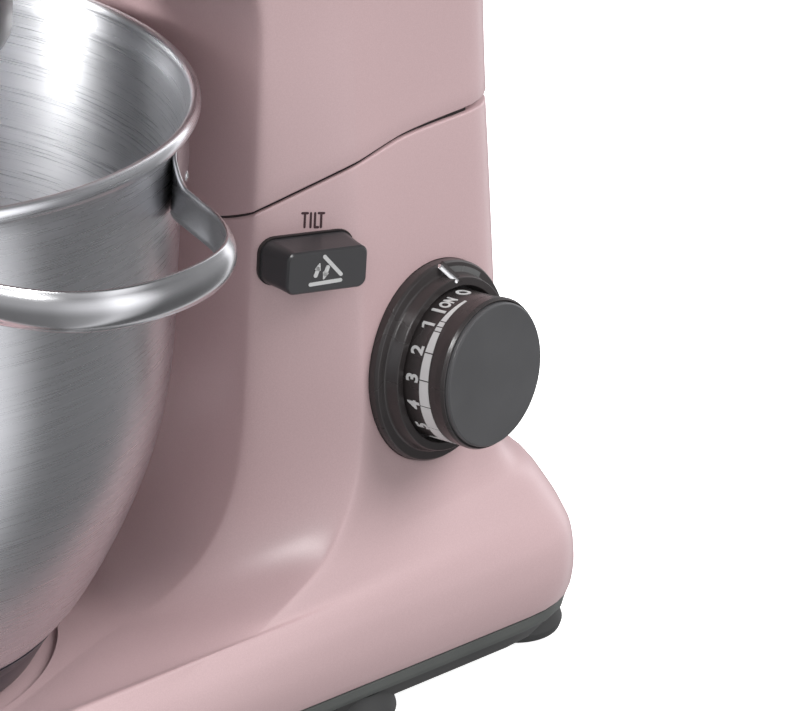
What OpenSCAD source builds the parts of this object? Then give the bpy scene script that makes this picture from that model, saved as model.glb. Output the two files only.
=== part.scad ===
// Tilt-head stand mixer: cast body on a flat base, tilting head, planetary beater drive,
// steel bowl, tilt button and speed dial. Millimetres, +Z up, front towards -Y,
// dial side towards +X. The design is laid out about the bowl's axis and place() moves it
// so that the origin is under the middle of the whole mixer, on the table.

/* [Bowl] */
// Radius of the bowl's wall below its rim
bowl_r = 107.5; // [107:0.5:108]
// Height of the bowl's rim above the table
rim_z = 209; // [207:1:211]
// Sheet thickness of the bowl
bowl_t = 1.2; // [1:0.1:1.6]
// Radius of the bowl's black foot at its lower edge
foot_r = 67; // [66:0.5:68]
// Reach of the handle from the bowl's axis
handle_reach = 147; // [144:1:150]
// Angle of the handle from +X
handle_turn = 5; // [0:1:8]

/* [Body] */
// Wall thickness of the cast body shells
wall = 3; // [2.5:0.1:3.5]
// Height of the bottom edge of the painted base above the table
skirt_z = 18.5; // [18:0.5:19]
// Width of the groove between column and head
groove = 1.2; // [1:0.1:2]
// Height of the flat deck under the bowl
deck_z = 35; // [34:0.5:36]

/* [Controls] */
// Outer radius of the dial's bezel
bezel_r = 31.5; // [31:0.5:33]
// Radius of the speed dial's front face
dial_r = 23; // [22:0.5:24]
// How far the dial's face stands out from the body
dial_out = 23; // [21:1:25]
// Width of the tilt button
button_w = 28.4; // [27.5:0.1:29]
// Height of the tilt button
button_h = 13.2; // [12.5:0.1:13.6]
// How far the tilt button stands out from the body
button_out = 12; // [11:0.5:13]

/* [Drive] */
// Gear module of the planetary stage
gear_m = 1.3; // [1.3]
// Teeth of the fixed ring gear
ring_teeth = 60; // [60]
// Teeth of the planet pinion
pinion_teeth = 20; // [20]
// Radius of the motor's stator
stator_r = 30; // [28:1:31]

/* [Hidden] */

$fn = 72;
centre = [18, 67.5];         // middle of the whole mixer, seen from the bowl's axis
pink = [0.76, 0.68, 0.69];
dark = [0.16, 0.15, 0.15];
steel = [0.75, 0.76, 0.78];
grey = [0.45, 0.45, 0.46];

// Joint axes and interfaces
hinge = [0, 205, 189];        // head hinge, along X, close to the rear end of the groove
dial_at = [82.6, 174.6, 108.8]; // centre of the dial, on the side face
dial_yaw = 6.5;               // the side face looks slightly backwards
dial_pitch = 6;              // and slightly upwards
button_at = [74.6, 124.8, 152]; // centre of the tilt button on the corner face
button_yaw = -18;             // direction the corner face looks, from +X
latch_at = [50, 144, 154];    // latch pin, along Z
motor_at = [28, 0, 285];      // motor axis, along Y
planet_r = gear_m * (ring_teeth - pinion_teeth) / 2;
handle_z = rim_z - 16;

// ---------- helpers ----------
module place() translate([-centre[0], -centre[1], 0]) children();
module on_dial() translate(dial_at) rotate([0, 0, dial_yaw]) rotate([0, 90 - dial_pitch, 0])
  children();
module on_button() translate(button_at) rotate([0, 0, button_yaw]) rotate([0, 90, 0]) children();
module on_bowl() rotate([0, 0, handle_turn]) children();
module along_y(at) translate(at) rotate([-90, 0, 0]) children();
module along_x(at) translate(at) rotate([0, 90, 0]) children();
module ring(ro, ri, h) difference() {
  cylinder(r = ro, h = h);
  translate([0, 0, -1]) cylinder(r = ri, h = h + 2);
}
module round_rect(w, h, r) hull() for (x = [-1, 1], y = [-1, 1])
  translate([x * (w / 2 - r), y * (h / 2 - r)]) circle(r, $fn = 32);

function mix(a, b, t) = a + (b - a) * t;
function unit(v) = v / norm(v);
function flip(p) = [-p[0], p[1], p[2]];
// Quadratic B-spline through a list of control points, k steps a span
function bezier(a, b, c, t) = mix(mix(a, b, t), mix(b, c, t), t);
function spline(p, k) = let (n = len(p)) concat([
  for (i = [0 : n - 3], j = [0 : k - 1])
    bezier(i == 0 ? p[0] : (p[i] + p[i + 1]) / 2, p[i + 1],
      i == n - 3 ? p[n - 1] : (p[i + 1] + p[i + 2]) / 2, j / k)], [p[n - 1]]);

// ---------- the body's skin ----------
// Each level of the skin has sixteen numbers:
//   0     1 where the front is a rounded nose, 0 where it is the column's face
//   1-2   front centre: y, z
//   3-5   front edge (or widest point of the nose): x, y, z
//   6-8   side edge: x, y, z
//   9-11  half widths of the side: middle, before the rear corner, at the rear corner
//   12    height of the side
//   13-15 rear face: y, corner size, z
edge = 2.2;                   // softness of the two upright edges
function level(r) = let (
    f = [0, r[1], r[2]], e1 = [r[3], r[4], r[5]], e2 = [r[6], r[7], r[8]],
    nose = r[0] == 1,
    a = nose ? [r[3] * 0.5, r[1], r[2]]
      : [r[3] * 0.32, mix(r[1], r[4], 0.32) + 2.8, mix(r[2], r[5], 0.1)],
    b = nose ? [r[3] * 0.93, mix(r[1], r[4], 0.28), mix(r[2], r[5], 0.3)]
      : [r[3] * 0.7, mix(r[1], r[4], 0.7) + 1.8, mix(r[2], r[5], 0.5)],
    s = [r[10], r[13] - 2 * r[14], r[12]])
  [f, a, b, e1 + unit(b - e1) * edge, e1 + unit(e2 - e1) * edge, (e1 + e2) / 2,
   e2 + unit(e1 - e2) * edge, e2 + unit(s - e2) * edge,
   [r[9], (r[7] + s[1]) / 2, (r[8] + r[12]) / 2], s,
   [r[11], r[13], mix(r[12], r[15], 0.1)],
   [r[11] - 2 * r[14], r[13], r[15]], [0, r[13], r[15]]];
// The same level moved inwards by t, and down by t where the skin lies flat
function inset(r, t, d) = [r[0], r[1] + t, r[2] - d, r[3] - t, r[4] + t, r[5] - d,
  r[6] - t, r[7] + t * (1 - r[0]), r[8] - d, r[9] - t, r[10] - t, r[11] - t, r[12] - d,
  r[13] - t, r[14], r[15] - d];
function loop(pts, k) = let (half = spline(pts, k), n = len(half))
  concat(half, [for (i = [n - 2 : -1 : 1]) flip(half[i])]);
function skin_rings(rows, ku, kv) = let (
    nets = [for (r = rows) level(r)], cols = len(nets[0]),
    lines = [for (c = [0 : cols - 1]) spline([for (n = nets) n[c]], kv)])
  [for (v = [0 : len(lines[0]) - 1]) loop([for (c = [0 : cols - 1]) lines[c][v]], ku)];
module skin(rows, ku = 2, kv = 2) {
  rings = skin_rings(rows, ku, kv);
  n = len(rings[0]);
  m = len(rings);
  middle = function (g) (g[0] + g[n / 2]) / 2;
  pts = concat([for (g = rings) each g], [middle(rings[0]), middle(rings[m - 1])]);
  sides = [for (v = [0 : m - 2], u = [0 : n - 1]) let (w = (u + 1) % n) each [
    [v * n + u, (v + 1) * n + w, v * n + w], [v * n + u, (v + 1) * n + u, (v + 1) * n + w]]];
  ends = [for (u = [0 : n - 1]) let (w = (u + 1) % n) each [
    [u, w, n * m], [(m - 1) * n + w, (m - 1) * n + u, n * m + 1]]];
  polyhedron(pts, concat(sides, ends));
}

// Base and column, from the skirt up to the groove under the head
base_levels = [
  [1, -110, skirt_z, 103.5, -20, skirt_z, 103.5, 50, skirt_z,
    103.5, 103.5, 103, skirt_z, 240, 36, skirt_z],
  [1, -112, 26, 105.5, -20, 27, 105.5, 55, 27, 105.5, 105.5, 105, 27, 241, 38, 27],
  [1, -110, 36, 103.5, -20, 38, 103.5, 58, 38, 105, 105, 104, 40, 239, 38, 40],
  [1, -105, 42, 99.5, -20, 43.5, 99.5, 62, 44, 103.4, 103.5, 101, 46, 237, 38, 47],
  [1, -101, 43, 96.5, -20, 45, 98.5, 76, 47, 101.8, 102, 98, 50, 235, 37, 52],
  [1, -82, deck_z, 83, -6, deck_z, 98, 92, 47, 100, 99, 95, 54, 233, 36, 56],
  [0, 60, deck_z, 56, 72, deck_z + 3, 97.5, 101, 51.5, 98.5, 96, 92, 58, 231, 35, 60],
  [0, 88, 36, 60, 84, 43, 97, 110, 56, 96.8, 93.5, 89.5, 61, 228, 33, 63.5],
  [0, 106, 44, 64, 97, 55, 95.3, 121, 61.5, 94.5, 91.2, 86.5, 64, 221, 29, 66],
  [0, 115, 60, 66.8, 104.5, 70, 92, 133, 74, 90, 88, 83.5, 71, 217.5, 27, 72],
  [0, 117.5, 84, 68.2, 108.2, 88, 88.6, 139.6, 90, 87, 85, 80.5, 88, 217, 26, 88],
  [0, 118, 118, 68.4, 108.6, 119, 84.9, 141.4, 119, 83.2, 81.6, 76.3, 119, 216.5, 25, 119],
  [0, 118, 148, 68.4, 108.6, 166.6, 77, 141.4, 177.8, 75.2, 73.8, 68.2, 182, 214, 24, 179]];
// Head, from the groove up over the neck, out under the nose and over the top
seam_level = [1, -85, 270, 77, -10, 270, 77, 50, 270, 76, 73, 68, 270, 211.5, 30, 270];
neck_levels = [
  [0, 118, 148 + groove, 68.4, 108.6, 166.6 + groove, 77, 141.4, 177.8 + groove,
    75, 73.5, 67.9, 182 + groove, 214, 24, 189],
  [0, 118, 196, 68.3, 108.4, 200, 73.9, 141.4, 204, 72.5, 71, 65.4, 207, 213, 24, 210],
  [0, 117, 226, 68.2, 108.2, 229, 70.2, 141.2, 231, 69.5, 68.5, 63.5, 233, 212.5, 24, 234],
  [0, 112, 238, 67, 103, 240, 70, 135, 243, 70.5, 68.6, 63.5, 245, 212, 25, 245],
  [0, 96, 245, 64, 90, 247, 71, 120, 251, 71.5, 69.5, 64, 252, 212, 26, 252],
  [0, 70, 247, 60, 74, 250, 72, 104, 254.5, 72.6, 70.5, 65, 256, 212, 27, 256],
  [1, -66, 249, 62, -8, 250, 73, 88, 256.5, 73.6, 71.3, 66, 259, 212, 28, 259],
  [1, -78, 252, 72, -10, 254, 74, 70, 258.5, 74.5, 72, 67, 262, 212, 29, 262],
  [1, -83, 257, 75.5, -10, 259, 75.5, 60, 262, 75.5, 72.6, 67.6, 266, 212, 30, 266]];
crown_levels = [
  [1, -86, 284, 77.5, -10, 285, 77.5, 50, 286, 76, 73, 68, 287, 211, 30, 287],
  [1, -84, 303, 76, -10, 303, 76, 50, 303, 74.5, 71.5, 66, 302, 209, 30, 301],
  [1, -74, 324, 69, -10, 323, 69, 50, 322, 67, 64, 58, 319, 201, 28, 316],
  [1, -52, 336, 52, -10, 336, 52, 50, 335, 50, 47, 42, 331, 184, 20, 328],
  [1, -22, 340, 22, -4, 340, 22, 50, 340, 20, 18, 15, 337, 150, 7, 336]];
raise = function (r, z) [for (i = [0 : 15]) r[i] + (search(i, [2, 5, 8, 12, 15]) != [] ? z : 0)];
// How far each level's inner face lies below the outer one
base_drop = [2, 0, 0, 2, 3, 6, 6, 4, 2, 1, 0, 0, -12];
neck_drop = [12, 0, -1, -2.5, -3, -3, -3, -2.5, -1];
crown_drop = [0, 0, 1, 3, 3];
base_inner = [for (i = [0 : len(base_levels) - 1]) inset(base_levels[i], wall, base_drop[i])];
neck_inner = [for (i = [0 : len(neck_levels) - 1]) inset(neck_levels[i], wall, neck_drop[i])];
crown_inner = [for (i = [0 : len(crown_levels) - 1])
  inset(crown_levels[i], wall, crown_drop[i])];

// Outline of the base's skirt at a given distance inside its edge
function skirt(t) = [for (p = loop(level(inset(base_levels[0], t, 0)), 3)) [p[0], p[1]]];

// ---------- base and column ----------
module base_housing() color(pink) place() resize([0, 0, 0]) difference() {
  skin(base_levels);
  skin(base_inner);
  on_dial() translate([0, 0, -12]) cylinder(r = 11, h = 30, $fn = 48);
  on_button() translate([-button_h / 2 - 1, -button_w / 2 - 1, -14])
    cube([button_h + 2, button_w + 2, 26]);
  on_dial() translate([0, 0, -1.6]) cylinder(r = bezel_r + 0.2, h = 20);
  along_y([-50, 215, 30]) cylinder(r = 7.2, h = 60, $fn = 32);
  translate([0, 0, deck_z]) cylinder(r = seat_r, h = 20, $fn = 144);
}
seat_r = 74;                  // round seat sunk into the deck for the bowl's foot

// Shallow tray under the base; its rear half reaches lower, as two rails that carry the feet
rail_y = 124;
plate_z = 12.5;
rail_z = 7;
module behind(y) intersection() {
  children();
  translate([-120, y, 0]) cube([240, 140, 60]);
}
module base_plate() color(dark) place() difference() {
  union() {
    difference() {
      union() {
        translate([0, 0, 15]) linear_extrude(skirt_z - 15.3) polygon(skirt(0.6));
        translate([0, 0, plate_z]) linear_extrude(3.2) polygon(skirt(9));
        behind(rail_y) translate([0, 0, rail_z]) linear_extrude(8.7) polygon(skirt(2.4));
      }
      translate([0, 0, 15.4]) linear_extrude(20) polygon(skirt(6.5));
      behind(rail_y + 3) translate([0, 0, rail_z + 2.5]) linear_extrude(20) polygon(skirt(6.4));
    }
    for (s = screw_spots) translate([s[0], s[1], screw_z(s) + 1]) cylinder(r = 5, h = 22 - screw_z(s));
  }
  for (s = screw_spots) translate([s[0], s[1], 0]) cylinder(r = 2.4, h = 40);
}
screw_spots = [for (x = [-72, 72], y = [-26, 60, 178]) [x, y]];
function screw_z(s) = s[1] > rail_y ? rail_z : plate_z;
rear_feet = [[-77, 222], [77, 222]];
middle_feet = [[-87, 138], [87, 138]];
front_feet = [[-72, -56], [72, -56]];

module feet() color(dark) place() {
  for (s = concat(rear_feet, middle_feet)) translate([s[0], s[1], 0]) rotate_extrude()
    polygon([[0, 0], [14, 0], [17, 1.5], [17.5, 4], [16, rail_z], [0, rail_z]]);
  for (s = front_feet) translate([s[0], s[1], 0]) rotate_extrude()
    polygon([[0, 0], [14, 0], [16.5, 1.5], [17, 4], [15, 6], [13, 8], [12, plate_z],
      [0, plate_z]]);
}

module base_screws() color(steel) place() for (s = screw_spots)
  translate([s[0], s[1], screw_z(s)]) {
    translate([0, 0, -2.2]) cylinder(r = 3.8, h = 2.2);
    translate([0, 0, -1]) cylinder(r = 2.3, h = 20 - screw_z(s));
  }

// Steel frame inside the column: floor rails and two cheeks that carry the hinge
module column_frame() color(grey) place() difference() {
  union() {
    for (x = [-cheek_x, cheek_x]) {
      translate([x - 3, 154, 21]) cube([6, 44, 163]);
      translate([x - 3, 176, hinge[2] - 9]) cube([6, hinge[1] - 176, 13]);
      along_x([x - 3, hinge[1], hinge[2]]) cylinder(r = knuckle_r, h = 6);
    }
    translate([-cheek_x - 3, 146, 21]) cube([2 * cheek_x + 6, 50, 4]);
    translate([-cheek_x - 3, 186, 100]) cube([2 * cheek_x + 6, 4, 20]);
    translate([-cheek_x - 3, 150, 140]) cube([2 * cheek_x + 6, 12, 4]);
  }
  along_x([-60, hinge[1], hinge[2]]) cylinder(r = pin_r + 0.05, h = 120);
}
cheek_x = 36;                 // distance of the column's cheeks from the middle
ear_x = 29;                   // distance of the head's ears from the middle
knuckle_r = 5;
pin_r = 3;

module column_cap() color(dark) place() difference() {
  translate([0, 0, 145.5]) linear_extrude(2.5) polygon([[-62, 122], [54, 122], [57, 144],
    [66, 154], [66, 178], [56, 200], [46, 207], [-46, 207], [-56, 200], [-66, 178], [-69, 143]]);
  for (x = [-cheek_x, cheek_x]) translate([x - 3.6, 149, 140]) cube([7.2, 50, 12]);
  translate([latch_at[0], latch_at[1], 140]) cylinder(r = 3, h = 12);
}

// Bayonet plate that the bowl's foot twists onto
module bowl_lock_plate() color(steel) place() translate([0, 0, deck_z + 0.1]) difference() {
  union() {
    cylinder(r = 50, h = 6.8);
    for (a = [0, 120, 240]) rotate([0, 0, a + handle_turn]) translate([0, 0, 4.3])
      intersection() {
        cylinder(r = 57, h = 2.2);
        translate([44, -17, -1]) cube([20, 34, 5]);
      }
  }
  translate([0, 0, 3]) cylinder(r = 40, h = 10);
  for (a = [0, 90, 180, 270]) rotate([0, 0, a]) translate([30, 0, -1]) cylinder(r = 2.2, h = 10);
}

module dial_bezel() color(dark) place() on_dial() difference() {
  rotate_extrude() polygon([[12, -1.5], [bezel_r, -1.5], [bezel_r, 1.6], [bezel_r - 1.2, 2.8],
    [bezel_r - 4, 3], [bezel_r - 4.7, 6.8], [bezel_r - 7, 7], [bezel_r - 7.3, 2.2], [12, 2.2]]);
  rotate([0, 0, pointer_turn]) translate([bezel_r - 9, -1.2, 1.9]) cube([8.6, 2.4, 10]);
}

module dial_pointer() color(steel) place() on_dial() rotate([0, 0, pointer_turn])
  rotate([90, 0, 0]) translate([0, 0, -1.1]) linear_extrude(2.2)
    polygon([[bezel_r - 7.3, 2], [bezel_r - 0.5, 2], [bezel_r - 0.5, 2.8], [bezel_r - 4.5, 7.6],
      [bezel_r - 7.3, 7.6]]);
pointer_turn = 175;           // where the pointer stands, counted from the lowest point

module speed_switch() color(dark) place() on_dial() difference() {
  union() {
    translate([-19, -19, -30]) cube([38, 38, 18]);
    translate([0, 0, -13]) cylinder(r = 7, h = 11.2);
  }
  translate([0, 0, -27]) cylinder(r = 3.06, h = 40);
}

module control_board() color([0.1, 0.35, 0.2]) place() {
  translate([-31, 190.5, 40]) cube([62, 1.6, 56]);
  for (x = [-30, -8, 14]) translate([x, 176, 52]) cube([16, 14.6, 18]);
  for (x = [-24, 0, 24]) along_y([x, 178, 84]) cylinder(r = 5, h = 12.6);
}

module button_sleeve() color(dark) place() on_button() difference() {
  translate([-button_h / 2 - 0.8, -button_w / 2 - 0.8, -12])
    cube([button_h + 1.6, button_w + 1.6, 12.6]);
  translate([-button_h / 2, -button_w / 2, -9.5]) cube([button_h, button_w, 12]);
  translate([0, 0, -20]) cylinder(r = 3.3, h = 30);
}

module latch_pin() color(steel) place() translate([latch_at[0], latch_at[1], 146])
  cylinder(r = 2.4, h = 13);

module hinge_pin() color(steel) place() along_x([-cheek_x - 5, hinge[1], hinge[2]]) {
  cylinder(r = pin_r, h = 2 * cheek_x + 10);
  translate([0, 0, -1.5]) cylinder(r = 4.2, h = 1.5);
}

module cable_gland() color(dark) place() along_y([-50, 241.5, 30]) difference() {
  union() {
    translate([0, 0, -18]) cylinder(r = 7, h = 19);
    cylinder(r = 9, h = 5);
  }
  translate([0, 0, -20]) cylinder(r = 3.6, h = 60);
}

// ---------- head ----------
module head_housing() color(pink) place() resize([0, 0, 0]) difference() {
  skin(concat(neck_levels, [seam_level]));
  skin(concat(neck_inner, [raise(inset(seam_level, wall, 0), 2)]));
  translate([0, 0, 230]) cylinder(r = 51, h = 40);
  translate([0, 0, 230]) cylinder(r = 57.3, h = 20.4);
}

module head_cover() color(pink) place() resize([0, 0, 0]) difference() {
  skin(concat([raise(seam_level, 0.8)], crown_levels));
  skin(concat([raise(inset(seam_level, wall, 0), -2)], crown_inner));
}

// Cast frame that carries the motor and gear case and ends in the hinge ears
module head_frame() color(grey) place() difference() {
  union() {
    translate([-56, -52, 257]) cube([114, 232, 4]);
    for (y = bearings_y) translate([motor_at[0] - 24, y, 261]) cube([48, 6, 42]);
    for (x = [-ear_x, ear_x]) {
      translate([x - 3, 162, 190]) cube([6, 18, 68]);
      translate([x - 3, 162, hinge[2] - 4]) cube([6, hinge[1] - 162, 9]);
      along_x([x - 3, hinge[1], hinge[2]]) cylinder(r = knuckle_r, h = 6);
    }
  }
  along_x([-60, hinge[1], hinge[2]]) cylinder(r = pin_r + 0.05, h = 120);
  translate([0, 0, 250]) cylinder(r = 50, h = 20);
  along_y([motor_at[0], 0, motor_at[2]]) cylinder(r = 9, h = 200);
  translate([motor_at[0] - 20, 59, 250]) cube([41, 62, 20]);
}

module neck_plate() color(dark) place() difference() {
  translate([0, 0, 197]) linear_extrude(2.5) polygon([[-62, 122], [62, 122], [67, 143],
    [65, 176], [-65, 176], [-67, 143]]);
  for (x = [-ear_x, ear_x]) translate([x - 3.6, 150, 190]) cube([7.2, 30, 12]);
}

module latch_catch() color(steel) place() {
  translate([20, 126, 164]) cube([3, 12, 33]);
  translate([20, 126, 164]) cube([12, 12, 2.5]);
}

module hub_ring() color(dark) place() rotate_extrude() difference() {
  union() {
    translate([47, 222]) square([4, 28]);
    translate([47, 230]) square([10, 20]);
    translate([49, 230]) circle(8, $fn = 48);
  }
  translate([0, 200]) square([47, 60]);
}

function gear_profile(z, m, tip, root, half) = let (r = z * m / 2) [
  for (i = [0 : z - 1], q = [[-1, root, 0.62], [-1, tip, 0.30], [1, tip, 0.30], [1, root, 0.62]])
    let (a = i * 360 / z + q[0] * q[2] * half * 180 / z) (r + q[1]) * [cos(a), sin(a)]];

module ring_gear() color(grey) place() translate([0, 0, 231]) difference() {
  cylinder(r = 46.9, h = 10);
  translate([0, 0, -1]) linear_extrude(12)
    polygon(gear_profile(ring_teeth, gear_m, 1.7, -1.0, 1.12));
}

module gear_case() color(grey) place() difference() {
  translate([0, 0, 250]) union() {
    cylinder(r = 46, h = 46);
    translate([0, 0, 7]) cylinder(r = 49.5, h = 4);
  }
  translate([0, 0, 256]) cylinder(r = 41, h = 37);
  translate([0, 0, 240]) cylinder(r = 10.5, h = 70);
  along_y([motor_at[0], -60, motor_at[2]]) cylinder(r = 10, h = 120);
}

module gear_case_screws() color(steel) place() for (a = [45 : 90 : 315])
  rotate([0, 0, a]) translate([37, 0, 296]) cylinder(r = 3, h = 3);

module motor_stator() color([0.5, 0.45, 0.4]) place() along_y([motor_at[0], 60, motor_at[2]])
  difference() {
    cylinder(r = stator_r, h = 60);
    translate([0, 0, -1]) cylinder(r = 18.6, h = 62);
  }

module motor_brushes() color([0.25, 0.22, 0.2]) place() for (s = [-1, 1])
  translate([motor_at[0] + s * 17 - 5, 134, motor_at[2] - 3]) cube([10, 8, 6]);

bearings_y = [48, 152];       // front and rear bearing of the motor
module motor_bearings() color(steel) place() for (y = bearings_y)
  along_y([motor_at[0], y, motor_at[2]]) ring(9, 4.05, 6);

module drive_bearings() color(steel) place() for (z = [250, 289])
  translate([0, 0, z]) ring(10.4, 6.05, 6);

// ---------- rotating parts of the motor ----------
module motor_rotor() color([0.6, 0.45, 0.3]) place() {
  along_y([motor_at[0], 62, motor_at[2]]) ring(17.8, 4, 56);
  along_y([motor_at[0], 130, motor_at[2]]) ring(11, 4, 16);
}

module motor_shaft() color(steel) place() {
  along_y([motor_at[0], -14, motor_at[2]]) cylinder(r = 4, h = 188);
  along_y([motor_at[0], -12, motor_at[2]]) cylinder(r = 5.5, h = 24);
}

module motor_fan() color(dark) place() along_y([motor_at[0], 162, motor_at[2]]) {
  ring(10, 4, 10);
  ring(22, 9, 1.5);
  for (a = [0 : 40 : 320]) rotate([0, 0, a]) translate([9, -0.8, 1]) cube([12.5, 1.6, 8]);
}

// ---------- planetary drive ----------
module planet_carrier() color(dark) place() difference() {
  union() {
    translate([0, 0, 220]) cylinder(r = 45, h = 3);
    translate([0, 0, 223]) cylinder(r = 45, h = 5);
    translate([0, 0, 228]) cylinder(r = 8, h = 21.5);
    translate([0, 0, 248]) cylinder(r = 6, h = 47);
    translate([0, -planet_r, 216]) cylinder(r = 12, h = 5);
  }
  translate([0, -planet_r, 200]) cylinder(r = 6.06, h = 60);
}

module worm_wheel() color([0.85, 0.8, 0.7]) place() translate([0, 0, 279]) difference() {
  union() {
    linear_extrude(9) polygon(gear_profile(44, 1, 0.2, -1.2, 1));
    cylinder(r = 10, h = 9);
  }
  translate([0, 0, -1]) cylinder(r = 6, h = 12);
}

module at_planet() translate([0, -planet_r, 0]) children();

module pinion() color(steel) place() at_planet() translate([0, 0, 231]) difference() {
  linear_extrude(10) polygon(gear_profile(pinion_teeth, gear_m, 1.0, -1.7, 0.86));
  translate([0, 0, -1]) cylinder(r = 6, h = 12);
}

module beater_shaft() color(steel) place() at_planet() difference() {
  union() {
    translate([0, 0, 178]) cylinder(r = 6, h = 66);
    translate([0, 0, 243]) cylinder(r = 4, h = 3);
  }
  along_x([-20, 0, 186]) cylinder(r = 1.82, h = 40);
}

module beater_pin() color(steel) place() along_x([-10, -planet_r, 186]) cylinder(r = 1.8, h = 20);

// Flat beater: a hub with a bayonet slot, and a cast frame with crossbars
beater_w = 48;
function beater_half(t) = spline([[0, 158 - t], [24, 158 - t], [beater_w - t, 146],
  [beater_w - t, 108], [beater_w - 3 - t, 74], [24, 57 + t], [0, 56 + t]], 4);
function beater_outline(t) = let (h = beater_half(t), n = len(h))
  concat(h, [for (i = [n - 2 : -1 : 1]) [-h[i][0], h[i][1]]]);
module flat_beater() color([0.8, 0.8, 0.82]) place() at_planet() difference() {
  union() {
    translate([0, 0, 151]) cylinder(r = 11, h = 47);
    rotate([90, 0, 0]) translate([0, 0, -3]) linear_extrude(6) difference() {
      polygon(beater_outline(0));
      polygon(beater_outline(7));
    }
    translate([-3, -3, 60]) cube([6, 6, 92]);
    for (z = [84, 112]) translate([-beater_w + 4, -2.5, z]) cube([2 * beater_w - 8, 5, 5]);
  }
  translate([0, 0, 176]) cylinder(r = 6.2, h = 40);
  translate([-12, -2.1, 183]) cube([24, 4.2, 20]);
}

// ---------- speed dial ----------
module speed_dial() color(dark) place() on_dial() rotate_extrude()
  polygon([[3, 3.4], [dial_r + 0.2, 3.4], [dial_r + 0.2, dial_out - 3],
    [dial_r - 1, dial_out - 1], [3, dial_out - 1]]);
module dial_cap() color([0.3, 0.3, 0.31]) place() on_dial() rotate_extrude()
  polygon([[0, dial_out - 1], [dial_r - 1.2, dial_out - 1], [dial_r - 2.4, dial_out],
    [0, dial_out]]);
// Printed band of the dial, a thin sleeve on its drum
module dial_scale() color([0.7, 0.7, 0.7]) place() on_dial() rotate([0, 0, pointer_turn])
  intersection() {
    translate([0, 0, 11.4]) ring(dial_r + 0.5, dial_r + 0.24, 4.4);
    translate([-40, 0, 0]) cube([80, 40, 30]);
  }
module dial_shaft() color(steel) place() on_dial() translate([0, 0, -26])
  cylinder(r = 3, h = 47);

// ---------- tilt button and latch ----------
// The button's face is narrower than its foot and sits a little towards the rear
face_shift = [-0.4, 1.5, 0];
module tilt_button() color(dark) place() on_button() hull() {
  translate([0, 0, -4]) linear_extrude(1) round_rect(button_h - 0.5, button_w - 0.5, 3.5);
  translate(face_shift) {
    translate([0, 0, button_out - 1]) linear_extrude(0.5) round_rect(button_h - 0.6,
      button_w - 3.2, 3);
    translate([0, 0, button_out - 0.5]) linear_extrude(0.5) round_rect(button_h - 1.6,
      button_w - 4.2, 2.6);
  }
}
// Raised picture on the button: a base line and a line swung up from it
module button_icon() color([0.8, 0.8, 0.8]) place() on_button()
  translate([0, 0, button_out]) {
    translate([2.8, -3.8, 0]) cube([1, 9.8, 0.25]);
    translate([1.2, 5.6, 0]) rotate([0, 0, 42]) translate([-8, -0.8, 0]) cube([8, 1, 0.25]);
  }
module button_stem() color(grey) place() on_button() translate([0, 0, -20])
  cylinder(r = 3, h = 16);
function coil(r, w, turns, pitch, n) = [for (i = [0 : turns * n]) let (a = i * 360 / n)
  [for (j = [0 : 5]) let (b = j * 60, q = r + w * cos(b))
    [q * cos(a), q * sin(a), i / n * pitch + w * sin(b)]]];
module tube(rings) {
  n = len(rings[0]);
  m = len(rings);
  polyhedron([for (g = rings) each g], concat(
    [for (v = [0 : m - 2], u = [0 : n - 1]) let (w = (u + 1) % n) each [
      [v * n + u, v * n + w, (v + 1) * n + w], [v * n + u, (v + 1) * n + w, (v + 1) * n + u]]],
    [[for (u = [n - 1 : -1 : 0]) u], [for (u = [0 : n - 1]) (m - 1) * n + u]]));
}
module button_spring() color(steel) place() on_button() translate([0, 0, -8.8])
  tube(coil(4.4, 0.5, 2.5, 1.6, 16));
module latch_lever() color(steel) place() translate([latch_at[0], latch_at[1], 154])
  difference() {
    union() {
      linear_extrude(3) polygon([[-28, -4], [-28, 3], [-4, 4.5], [4, 4.5], [4.5, -3], [3, -11],
        [-0.9, -11.4], [-5, -4.5]]);
      translate([-28, -4, 0]) cube([8, 7, 15]);
    }
    translate([0, 0, -1]) cylinder(r = 2.45, h = 5);
  }

// ---------- bowl ----------
function bowl_curve(t) = spline([[0, 44.5 + t], [64, 44.5 + t], [80 - t, 52.2 + t / 2],
  [98 - t, 92], [bowl_r - 2 - t, 124], [bowl_r - 2 - t, 165], [bowl_r - 0.5 - t, rim_z - 6],
  [bowl_r - t, rim_z]], 5);
module bowl() color(steel) place() rotate_extrude($fn = 144) union() {
  polygon(concat(bowl_curve(0), [for (i = [35 : -1 : 0]) bowl_curve(bowl_t)[min(i, 30)]]));
  translate([bowl_r + 1.1, rim_z + 0.4]) circle(1.8, $fn = 24);
}
module bowl_foot() color(dark) place() translate([0, 0, deck_z]) union() {
  rotate_extrude() polygon([[61, 0.4], [foot_r, 0.4], [foot_r + 1.6, 2.2],
    [foot_r + 6.7, 11.8], [77.2, 17.1], [76, 16], [72, 13.1], [69.8, 12.4], [66.6, 11.7],
    [62.2, 11.2], [61, 11]]);
  for (a = [0, 120, 240]) rotate([0, 0, a + handle_turn]) intersection() {
    translate([0, 0, 0.8]) ring(62, 52.5, 2.2);
    translate([30, -15, 0]) cube([40, 30, 5]);
  }
}
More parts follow.
